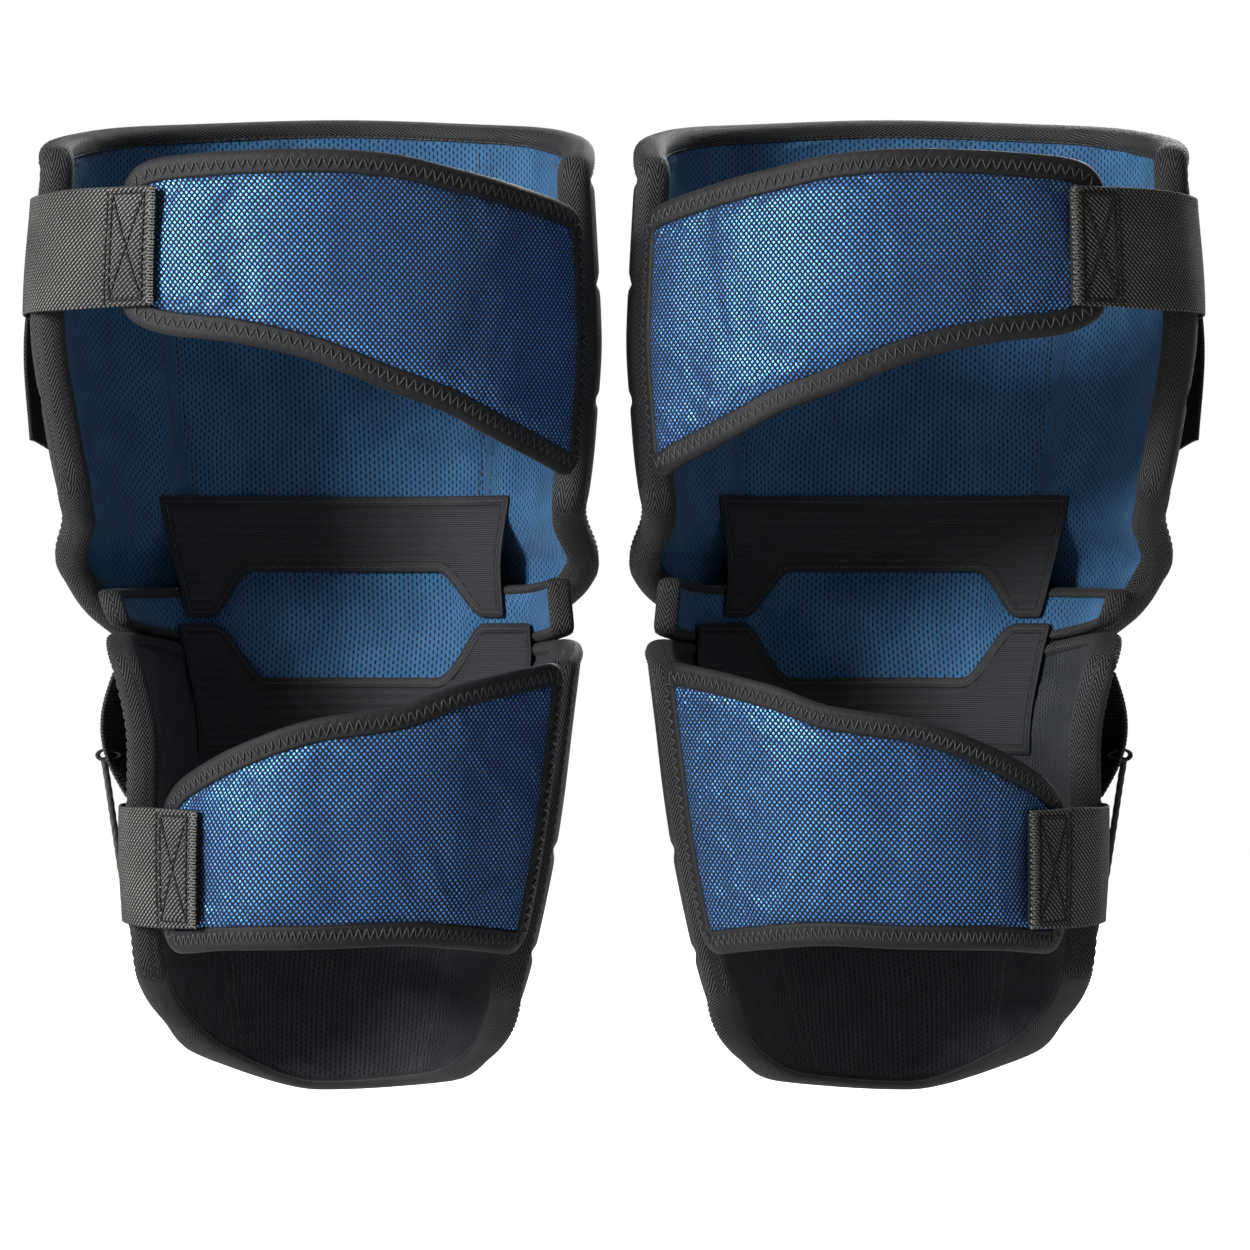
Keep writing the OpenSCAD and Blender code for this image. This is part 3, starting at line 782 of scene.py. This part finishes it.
def closedTube(line, radius):
    # Rings r (x cos w + y sin w) along a closed line, with x square to it and to a fixed direction.
    ahead = np.roll(line, -1, axis=0) - np.roll(line, 1, axis=0)
    ahead /= np.linalg.norm(ahead, axis=1, keepdims=True)
    x = np.cross(ahead, [0.3, 0.2, 0.93])
    x /= np.linalg.norm(x, axis=1, keepdims=True)
    rings = line[:, None] + radius * spokes(x, np.cross(ahead, x), turns(threadSides))
    return sweep(rings, np.arange(len(line) + 1) * 0.6 * mm, True)


# soft folds
settling = {"grid": (64, 40), "quality": 6, "mass": 0.15, "bending": 0.02, "frames": 16, "jitter": 0.2}


def settledSheet(a, z, d, grow, cap):
    # Cloth a little larger than its pinned rim buckles; returns how far it moves off the leg, in mm,
    # capped by cap tanh(moved / cap), and spread over the grid from a coarser one by straight lines.
    n, m = settling["grid"]
    rows, columns = np.linspace(0, a.shape[0] - 1, n), np.linspace(0, a.shape[1] - 1, m)
    d = d + 0 * a

    def sampled(values):
        return np.stack([np.interp(rows, np.arange(a.shape[0]), values[:, int(c)]) for c in columns], 1)

    ca, cz, cd = sampled(a), sampled(z), sampled(d)
    rest = legPoint(ca, cz, cd)
    outward = legPoint(ca, cz, cd + 1) - rest
    outward /= np.linalg.norm(outward, axis=-1, keepdims=True)
    noise = np.random.default_rng(11).normal(size=(n, m, 1)) * settling["jitter"] * mm
    mesh = bpy.data.meshes.new("settling")
    mesh.from_pydata((rest + outward * noise).reshape(-1, 3), [], quads(np.arange(n * m).reshape(n, m)))
    cloth = bpy.data.objects.new("settling", mesh)
    bpy.context.collection.objects.link(cloth)
    rim = np.zeros((n, m), bool)
    rim[[0, -1]] = True
    rim[:, [0, -1]] = True
    cloth.vertex_groups.new(name="pinned").add([int(i) for i in np.flatnonzero(rim.ravel())], 1, "REPLACE")
    modifier = cloth.modifiers.new("cloth", "CLOTH")
    modifier.settings.vertex_group_mass = "pinned"
    modifier.settings.quality = settling["quality"]
    modifier.settings.mass = settling["mass"]
    modifier.settings.shrink_min = -grow
    modifier.settings.bending_stiffness = settling["bending"]
    modifier.settings.effector_weights.gravity = 0
    modifier.point_cache.frame_end = settling["frames"]
    for step in range(1, settling["frames"] + 1):
        bpy.context.scene.frame_set(step)
    settled = cloth.evaluated_get(bpy.context.evaluated_depsgraph_get()).to_mesh()
    points = np.empty(n * m * 3)
    settled.vertices.foreach_get("co", points)
    bpy.data.objects.remove(cloth)
    bpy.context.scene.frame_set(1)
    moved = ((points.reshape(n, m, 3) - rest) * outward).sum(-1) / mm
    moved = cap * np.tanh(moved / cap)
    half = np.stack([np.interp(np.arange(a.shape[0]), rows, moved[:, k]) for k in range(m)], 1)
    return np.stack([np.interp(np.arange(a.shape[1]), columns, half[k]) for k in range(a.shape[0])], 0)


# shields
shieldLook = {"liningSeams": [-40, 40], "coverSeams": [-74, -40, 40, 72], "grow": 0.035, "cap": 0.9,
              "coreWide": 0.985, "coreTall": 0.975, "foam": (0.3, 0.5), "plate": (0.51, 0.57)}


def seams(a, places, width):
    # Sum of bells exp(-((a - place) / width)^2): 1 on each seam.
    return sum(np.exp(-((a - place) / width) ** 2) for place in places)


def shieldPieces(name, field, thick, lift, linerFinish, seamHeights):
    # Lining, foam, plate, cover and edge roll between depths lift and lift + thick; the seams are
    # grooves in their skins.
    a, z = fieldGrid(field, 140, 92)
    total, up = thick(a, z), lift(a, z)
    edge = edgeRise(a, z, 5)
    across = seams(z, seamHeights, 2.0) * (np.abs(a) < 40)
    groove = np.clip(seams(a, shieldLook["liningSeams"], 1.1) + across, 0, 1)
    soft = settledSheet(a, z, up, shieldLook["grow"], shieldLook["cap"])
    inner = up + 0.1 + 1.0 * groove + soft * (1 - groove) + 0.9 * (1 - edge)
    outer = up + 0.2 * total + 1.2 * edge
    rows = seamRows(a, z, inner, shieldLook["liningSeams"], -1)
    bothSides(f"{name}_liner_stitches", rows, name, "liner_knit", None, finishes["thread"])
    made = padSurfaces(a, z, inner, np.where(edge > 0, outer, inner))
    bothSides(f"{name}_liner_cloth", made, name, "liner_knit", f"{name}_liner", linerFinish)
    # inside, a little smaller than the cover; their depths are shares of its thickness
    coreA, coreZ = fieldGrid(field, 60, 36, 0)
    coreA = coreA * shieldLook["coreWide"]
    coreZ = coreZ.mean() + (coreZ - coreZ.mean()) * shieldLook["coreTall"]
    core, lifted = thick(coreA, coreZ), lift(coreA, coreZ)
    for layer in ("foam", "plate"):
        low, high = shieldLook[layer]
        made = padSurfaces(coreA, coreZ, lifted + low * core, lifted + high * core)
        bothSides(f"{name}_{layer}_core", made, name, layer, f"{name}_{layer}", finishes[layer])
    groove = np.clip(seams(a, shieldLook["coverSeams"], 1.3) + seams(z, seamHeights, 2.4), 0, 1)
    outer = up + total * (0.93 + 0.07 * edge) + 0.4 + ripples(a, z, 60) * 0.35 - 1.5 * groove
    rows = seamRows(a, z, outer, shieldLook["coverSeams"], 1)
    bothSides(f"{name}_cover_stitches", rows, name, "nylon", None, finishes["paleThread"])
    made = padSurfaces(a, z, up + 0.6 * total, outer)
    bothSides(f"{name}_cover_cloth", made, name, "nylon", f"{name}_cover", finishes["nylon"])
    line, length = rimLine(field, 520)
    t, u = thick(line[:, 0], line[:, 1]), lift(line[:, 0], line[:, 1])
    skin, power, out = (u - 0.9, u + t + 1.2, -2.5, field["roll"]), 2.3, 0.6
    made = edgeRoll(line, length, *skin, 22, power)
    bothSides(f"{name}_edge_roll", made, name, "binding", f"{name}_roll", finishes["roll"])
    normal = rimNormal(line, u)
    rows = [stitchRow(line, normal, out, onRoll(*skin, power, out, way), length, way=way)
            for way in (-1, 1)]
    bothSides(f"{name}_roll_stitches", joined(rows), name, "binding", None, finishes["thread"])
    print(name, "shield made")


shieldPieces("thigh", thigh, thighThick, thighLift, finishes["liner"], [96, 146, 190])
shieldPieces("shin", shin, shinThick, lambda a, z: 0 * a, finishes["mesh"], [-96, -140, -176])

# knee cup
a, z = fieldGrid(knee, 110, 44)
t = kneeThick(a, z)
edge = edgeRise(a, z, 4)
made = padSurfaces(a, z, 0.2 + 0.8 * (1 - edge) + 0.25 * ripples(a, z, 40), 0.25 * t * (0.3 + 0.7 * edge))
bothSides("knee_liner_cloth", made, "knee", "liner_knit", "knee_liner", finishes["liner"])
made = padSurfaces(a, z, 0.25 * t, t * (0.9 + 0.1 * edge))
bothSides("knee_pad_cover", made, "knee", "nylon", "knee_pad", finishes["nylon"])
line, length = rimLine(knee, 360, 3)
t = kneeThick(line[:, 0], line[:, 1])
made = edgeRoll(line, length, 0 * t - 0.5, t + 0.4, -1.6, knee["roll"], 16, 2.4)
bothSides("knee_edge_tape", made, "knee", "binding", "knee_tape", finishes["roll"])

# hard cap: its dome rises as (1 - u^2)(1 - v^2), with a rib on each side and round corners
cap = {"half": 68, "angle": 32, "gap": 15.5, "crown": 14, "rim": 4, "corner": 14}
capU, capV = np.meshgrid(2 * cluster(70) - 1, 2 * cluster(96) - 1, indexing="ij")
a = cap["angle"] * capU
z = (cap["half"] - cap["corner"] * np.abs(capU) ** 3) * capV
dome = cap["rim"] + (cap["crown"] - cap["rim"]) * (1 - capU ** 2) * (1 - capV ** 2)
rib = 0.9 * np.exp(-((np.abs(capU) - 0.55) / 0.05) ** 2) * smooth((0.86 - np.abs(capV)) / 0.1)
edge = edgeRise(a, z, 3)
made = padSurfaces(a, z, cap["gap"] + 0.2 + 1.2 * (1 - edge), cap["gap"] + 0.6 + (dome - 0.8 + rib) * edge)
bothSides("knee_cap_shell", made, "knee", "cap_shell", "knee_cap", finishes["cap"])
print("knee cups made")

# padded bars on the front
bars = {
    "thigh": {"lows": [98, 134, 170], "tall": 32, "half": 38, "proud": 6, "padAt": 120, "pad": thighThick},
    "shin": {"lows": [-126, -160], "tall": 30, "half": 25, "proud": 5, "padAt": -120, "pad": shinThick}}
for name, bar in bars.items():
    parts, rows = [], []
    tall, wide, proud, at, thick = (bar[key] for key in ("tall", "half", "proud", "padAt", "pad"))
    for low in bar["lows"]:
        u, v = np.meshgrid(cluster(70), cluster(30), indexing="ij")
        a, z = wide * (2 * u - 1), low + 0.6 + (tall - 1.2) * v
        edge = edgeRise(a, z, 9)
        base = thick(a, np.full_like(a, at))
        outer = base + 0.9 + (proud - 0.6) * edge ** 1.2 + 0.25 * ripples(a, z, 30) * edge
        parts.append(padSurfaces(a, z, base + 0.7 + 0 * a, outer))
        field = {"from": -wide, "to": wide, "lower": [[-wide, low], [wide, low]],
                 "upper": [[-wide, low + tall], [wide, low + tall]]}
        line, length = rimLine(field, 300, 3)
        depth = thick(line[:, 0], np.full(len(line), at)) + 0.9 + (proud - 0.6) * 0.69
        rows.append(stitchRow(line, rimNormal(line, depth), -3.4, depth, length))
    bothSides(f"{name}_front_bars", joined(parts), name, "nylon", f"{name}_bars", finishes["leather"])
    bothSides(f"{name}_bar_stitches", joined(rows), name, "nylon", None, finishes["paleThread"])

# wraps; each crease is an angle, a height, a tilt and a size in x exp(-x^2 - y^2) across and along it
wraps = {
    "thigh": {
        "from": 112.6, "to": 218.6, "tape": 9.5, "creases": [(138, 128, 0.3, 0.9), (176, 150, 0.1, 0.6)],
        "top": [[108, 174], [126, 181], [150, 189], [165, 194], [180, 195.5], [212, 193.5], [223, 188]],
        "bottom": [[108, 59], [126, 70], [140, 79], [150, 87], [163, 95], [184, 110], [197, 116],
                   [212, 120], [223, 130]]},
    "calf": {
        "from": 115, "to": 229, "tape": 9.5, "creases": [
            (148, -100, -0.5, 1.3), (156, -106, -0.45, 1.0), (166, -70, 0.6, 1.2), (204, -92, -0.1, 0.9)],
        "top": [[108, -14], [118, -16], [146, -24.5], [161, -33], [182, -38.5], [204, -49.5],
                [216, -57.5], [225, -64.5], [236, -84]],
        "bottom": [[108, -141], [120, -138], [138, -135], [155, -133], [176, -134], [207, -135],
                   [231, -137.5], [236, -132]]}}
wrapIn, wrapThick, wrapRise = 3, 6, 4
wrapLook = {"grow": 0.03, "cap": 0.9, "perDegree": 1.8, "creaseWide": 4, "creaseLong": 20}


def wrapDepth(a):
    # 3 mm off the leg, and 4 mm more by 3t^2 - 2t^3 from 132 to 112 degrees, next to the inner seam.
    return wrapIn + wrapRise * smooth((132 - a) / 20)


for name, w in wraps.items():
    field = {"from": w["from"], "to": w["to"],
             "lower": [[p, q + w["tape"]] for p, q in w["bottom"]],
             "upper": [[p, q - w["tape"]] for p, q in w["top"]]}
    body = f"{name}_wrap"
    a, z = fieldGrid(field, 150, 80)
    edge = edgeRise(a, z, 9)
    depth = wrapDepth(a)
    folds = settledSheet(a, z, depth + wrapThick, wrapLook["grow"], wrapLook["cap"])
    for x, y, tilt, size in w["creases"]:
        beside, above = (a - x) * wrapLook["perDegree"], z - y
        across = (beside * math.cos(tilt) + above * math.sin(tilt)) / wrapLook["creaseWide"]
        along = (above * math.cos(tilt) - beside * math.sin(tilt)) / wrapLook["creaseLong"]
        folds = folds + size * across * np.exp(-across ** 2 - along ** 2)
    outer = depth + 3.6 + (wrapThick - 3.9) * edge + folds * edge
    made = padSurfaces(a, z, depth + 2.2 - 2.0 * edge, outer)
    bothSides(f"{name}_wrap_mesh", made, body, "blue_mesh", f"{name}_wrap", finishes["blue"])
    line, length = rimLine(field, 900, 7)
    d = wrapDepth(line[:, 0])
    made = edgeRoll(line, length, d + 0.9, d + wrapThick - 0.45, -0.8, w["tape"], 24, 3.0, 0.45, 0.12)
    bothSides(f"{name}_wrap_binding", made, body, "tape", f"{name}_wrap_tape", finishes["tape"])
    normal = rimNormal(line, d + 3)
    thread = zigzag(line, normal, 3.9, 2.4, d + wrapThick - 0.4, length, 0.3)
    bothSides(f"{name}_wrap_zigzag", closedTube(thread, 0.32 * mm), body, "tape", None, finishes["thread"])
    print(name, "wrap made")

# elastic straps
straps = {
    "thigh": {"end": 212.5, "anchor": 280, "low": 131.5, "wide": 50, "side": 12, "perDegree": 2.0},
    "calf": {"end": 215.5, "anchor": 277, "low": -126.5, "wide": 50, "side": 12, "perDegree": 1.45}}
hookThick, strapThick = 1.5, 1.6


def segmentDistance(x, y, start, end):
    # Distance of points (x, y) from the straight piece between start and end.
    dx, dy = end[0] - start[0], end[1] - start[1]
    t = np.clip(((x - start[0]) * dx + (y - start[1]) * dy) / (dx * dx + dy * dy), 0, 1)
    return np.hypot(x - start[0] - t * dx, y - start[1] - t * dy)


for name, s in straps.items():
    over = wrapIn + wrapThick + hookThick + 0.9
    depthKnots = [[s["end"], over], [s["end"] + 14, over], [250, s["side"] + 2.2],
                  [s["anchor"], s["side"] + 1.4]]

    # stitched box, its cross and the seam beside it
    perDegree = s["perDegree"]
    left, right, bottom, top = 5.5, 22.0, 3.0, s["wide"] - 3.0
    corners = [(left, bottom), (right, bottom), (right, top), (left, top)]
    lines = [(corners[k], corners[(k + 1) % 4]) for k in range(4)]
    lines += [(corners[0], corners[2]), (corners[3], corners[1]), ((24.5, 1.0), (24.5, s["wide"] - 1.0))]
    body = f"{name}_strap"

    # the band, with grooves where its stitches pull it in
    u, v = np.meshgrid(cluster(150, 0.5), cluster(76, 0.5), indexing="ij")
    a = s["end"] + (s["anchor"] - s["end"]) * u
    z = s["low"] + s["wide"] * v + 0.5 * np.sin(a / 6) * (v - 0.5)
    edge = edgeRise(a, z, 0.9)
    base = curve(a, depthKnots)
    wavy = 0.12 * ripples(a, z, 25)
    near = np.min([segmentDistance((a - s["end"]) * perDegree, z - s["low"], *line) for line in lines],
                  axis=0)
    pulled = 0.75 * np.exp(-(near / 0.9) ** 2)
    outer = base + 0.8 + (strapThick - 0.9) * edge + wavy - pulled
    made = padSurfaces(a, z, base + 0.1 + 0.7 * (1 - edge), np.maximum(outer, base + 0.75))
    bothSides(f"{name}_strap_band", made, body, "elastic", f"{name}_elastic", finishes["elastic"])

    # folded hem, and the rungs of thread over its edge
    u, v = np.meshgrid(cluster(24, 0.6), cluster(60, 0.6), indexing="ij")
    a = s["end"] + 0.4 + 3.2 / perDegree * u
    z = s["low"] + 0.6 + (s["wide"] - 1.2) * v
    edge = edgeRise(a, z, 0.9)
    hem = padSurfaces(a, z, over + strapThick - 0.5 + 0 * a, over + strapThick - 0.1 + 0.8 * edge)
    bothSides(f"{name}_strap_hem", hem, body, "elastic", None, finishes["elastic"])
    count = int(s["wide"] / 1.25)
    t = np.linspace(0, 1, 7)
    rungs = []
    for k in range(count):
        height = s["low"] + 0.9 + (s["wide"] - 1.8) * (k + 0.5) / count
        along = s["end"] + (0.1 + 3.0 * t) / perDegree
        rise = over + strapThick + 0.75 * np.sin(math.pi * np.clip(t * 1.1, 0, 1)) ** 0.35
        rungs.append(tube(legPoint(along, height + 0.35 * (t - 0.5), rise), 0.3 * mm, threadSides))
    bothSides(f"{name}_strap_ladder", joined(rungs), body, "elastic", None, finishes["paleThread"])
    parts = []
    for (x0, y0), (x1, y1) in lines:
        t = np.linspace(0, 1, 40)
        a = s["end"] + (x0 + (x1 - x0) * t) / perDegree
        z = s["low"] + y0 + (y1 - y0) * t
        parts.append(stitchPath(a, z, curve(a, depthKnots) + strapThick - 0.25, 2.8, 0.7, 0.35))
    bothSides(f"{name}_strap_stitches", joined(parts), body, "elastic", None, finishes["blackThread"])
    print(name, "strap made")

# outer flap: it bends away from the shield towards its free edge
outerFlap = {"free": -72, "sewn": -54, "low": 70, "tall": 114, "stand": 16}
u, v = np.meshgrid(cluster(44), cluster(64), indexing="ij")
wide = outerFlap["sewn"] - outerFlap["free"]
a = outerFlap["free"] + wide * u
z = outerFlap["low"] + outerFlap["tall"] * v
bend = smooth((outerFlap["sewn"] - a) / wide)
d = thighThick(a, 120) + 1 + outerFlap["stand"] * bend * (1 - 0.6 * v)
z = z + 10 * np.where(v < 0.5, 1, -1) * smooth((-60 - a) / 12) * np.abs(2 * v - 1)
edge = edgeRise(a, z, 1.2)
made = padSurfaces(a, z, d + 0.2 + 1.0 * (1 - edge), d + 1.2 + 1.2 * edge)
bothSides("thigh_outer_flap", made, "thigh", "nylon", "thigh_wing", finishes["twill"])

# ribbed flap: it stands off most at its middle height
ribbedFlap = {"free": -84, "wide": 24, "low": -74, "tall": 54, "stand": 11, "rib": 1.8}
u, v = np.meshgrid(cluster(36), cluster(160), indexing="ij")
a, z = ribbedFlap["free"] + ribbedFlap["wide"] * u, ribbedFlap["low"] + ribbedFlap["tall"] * v
d = 12.4 + ribbedFlap["stand"] * smooth((-62 - a) / 16) * np.sin(math.pi * v)
edge = edgeRise(a, z, 1.0)
ribs = 0.25 * np.abs(np.sin(math.pi * (z - ribbedFlap["low"]) / ribbedFlap["rib"]))
made = padSurfaces(a, z, d + 0.2 + 0.8 * (1 - edge), d + 1.0 + (0.8 + ribs) * edge)
bothSides("shin_ribbed_flap", made, "shin", "webbing", "shin_wing", finishes["webbing"])

# webbing loop: a band bent round the cord's end, its two legs pinched together at the flap
ringCentre = cordRoute[0] + [0, 0, 1]
ringRadius, ringLength, ringPinch = 2.4, 34, 0.55
w = turns(48)[:, None]
profile = np.array([[-5.6, 0.1], [-5.2, -0.5], [5.2, -0.5], [5.6, 0.1], [5.2, 0.8], [-5.2, 0.8]])
radius = ringRadius + profile[None, :, 1]
pinch = 1 - ringPinch * ((1 + np.cos(w)) / 2) ** 2
ring = np.stack([ringCentre[0] + radius * np.cos(w) + ringRadius * (1 + np.cos(w)),
                 ringCentre[1] + profile[None, :, 0] + 0 * w,
                 ringCentre[2] + radius * np.sin(w) * pinch], -1) * mm
made = sweep(ring, np.linspace(0, ringLength * mm, 49), True)
bothSides("shin_cord_loop", made, "shin", "webbing", "cord_loop", finishes["webbing"])

# stretch gussets between two shields; their sides reach past their middle by dip and rise, to close
# the corners of the gap
gussets = {
    "knee": {"from": -50, "to": 50, "low": 24, "high": 56, "dip": -20, "rise": 0,
             "joins": ("thigh", "knee")},
    "shin": {"from": -55, "to": 64, "low": -56, "high": -24, "dip": 0, "rise": 24,
             "joins": ("knee", "shin")}}
clothPerDegree, seamCloth = 0.00165, 8
for name, g in gussets.items():
    first, last, low, high = (g[key] for key in ("from", "to", "low", "high"))
    a = np.linspace(first, last, 90)
    side = smooth((np.abs(a) - 26) / 16)
    field = {"from": first, "to": last, "lower": np.stack([a, low + g["dip"] * side], 1),
             "upper": np.stack([a, high + g["rise"] * side], 1)}
    a, z = fieldGrid(field, 70, 64, 0.2)
    pleat = 0.35 * np.sin(2 * math.pi * z / 4.2) * edgeRise(a, z, 4)
    made = padSurfaces(a, z, -1.8 + pleat, -1.2 + pleat + 0.1 * edgeRise(a, z, 1))
    middle = (low + high) / 2 * mm
    bodies = (*g["joins"], (0, 0.09, middle + 0.006), (0, 0.09, middle - 0.006))
    pieces = bothSides(f"{name}_gusset_cloth", made, None, "stretch", f"{name}_gusset", finishes["stretch"],
                       bodies)
    for piece in pieces:
        flat = (round((last - first) * clothPerDegree, 4), (high - low + seamCloth) * mm)
    line, length = rimLine(field, 400, 2)
    zero = 0 * line[:, 0]
    hem = edgeRoll(line, length, zero - 2.2, zero - 1.0, -4.0, 0.8, 12, 3.0)
    bothSides(f"{name}_gusset_hem", hem, None, "stretch", None, finishes["tape"], bodies)
    rows = stitchRow(line, rimNormal(line, zero), -1.6, zero - 2.25, length, 3.0, 0.25, -1)
    bothSides(f"{name}_gusset_stitches", rows, None, "stretch", None, finishes["thread"], bodies)
print("flaps, loops and gussets made")

# stage and light
stage = {"drop": 0.05, "glow": 0.86, "grey": 0.6, "half": 4, "room": 0.13}
floorMaterial = bpy.data.materials.new("paleFloor")
floorMaterial.use_nodes = True
floorTree = floorMaterial.node_tree
floorShader = floorTree.nodes["Principled BSDF"]
floorShader.inputs["Base Color"].default_value = (stage["grey"], stage["grey"], stage["grey"], 1)
floorShader.inputs["Roughness"].default_value = 0.9
floorShader.inputs["Emission Color"].default_value = (1, 1, 1, 1)
floorPath = floorTree.nodes.new("ShaderNodeLightPath")
floorGlow = floorTree.nodes.new("ShaderNodeMath")
floorGlow.operation = "MULTIPLY"
floorGlow.inputs[1].default_value = stage["glow"]
floorTree.links.new(floorPath.outputs["Is Camera Ray"], floorGlow.inputs[0])
floorTree.links.new(floorGlow.outputs[0], floorShader.inputs["Emission Strength"])
mesh = bpy.data.meshes.new("floor")
half, low = stage["half"], cadBox[0][2] - stage["drop"]
corners = [(-half, -half, low), (half, -half, low), (half, half, low), (-half, half, low)]
mesh.from_pydata(corners, [], [(0, 1, 2, 3)])
mesh.materials.append(floorMaterial)
floor = bpy.data.objects.new("floor", mesh)
bpy.context.collection.objects.link(floor)

lamps = {
    "key": {"place": (-2.2, -1.7, 0.8), "size": 0.8, "power": 150},
    "fill": {"place": (1.8, -2.0, 0.5), "size": 1.8, "power": 3},
    "top": {"place": (0.0, 0.3, 2.2), "size": 1.8, "power": 14},
    "front": {"place": (0.9, 2.2, 1.3), "size": 1.4, "power": 80}}
for name, lamp in lamps.items():
    light = bpy.data.lights.new(name, "AREA")
    light.size, light.energy = lamp["size"], lamp["power"]
    lightObject = bpy.data.objects.new(name, light)
    bpy.context.collection.objects.link(lightObject)
    lightObject.location = lamp["place"]
    x, y, z = lamp["place"]
    lightObject.rotation_euler = (math.acos(z / math.hypot(x, y, z)), 0, math.atan2(x, -y))
world = bpy.data.worlds.new("room")
bpy.context.scene.world = world
world.use_nodes = True
tree = world.node_tree
background = tree.nodes["Background"]
background.inputs["Color"].default_value = (1, 1, 1, 1)
path = tree.nodes.new("ShaderNodeLightPath")
strength = tree.nodes.new("ShaderNodeMapRange")
strength.inputs["To Min"].default_value = stage["room"]
strength.inputs["To Max"].default_value = 1.0
tree.links.new(path.outputs["Is Camera Ray"], strength.inputs["Value"])
tree.links.new(strength.outputs[0], background.inputs["Strength"])
bpy.context.scene.view_settings.view_transform = "Standard"
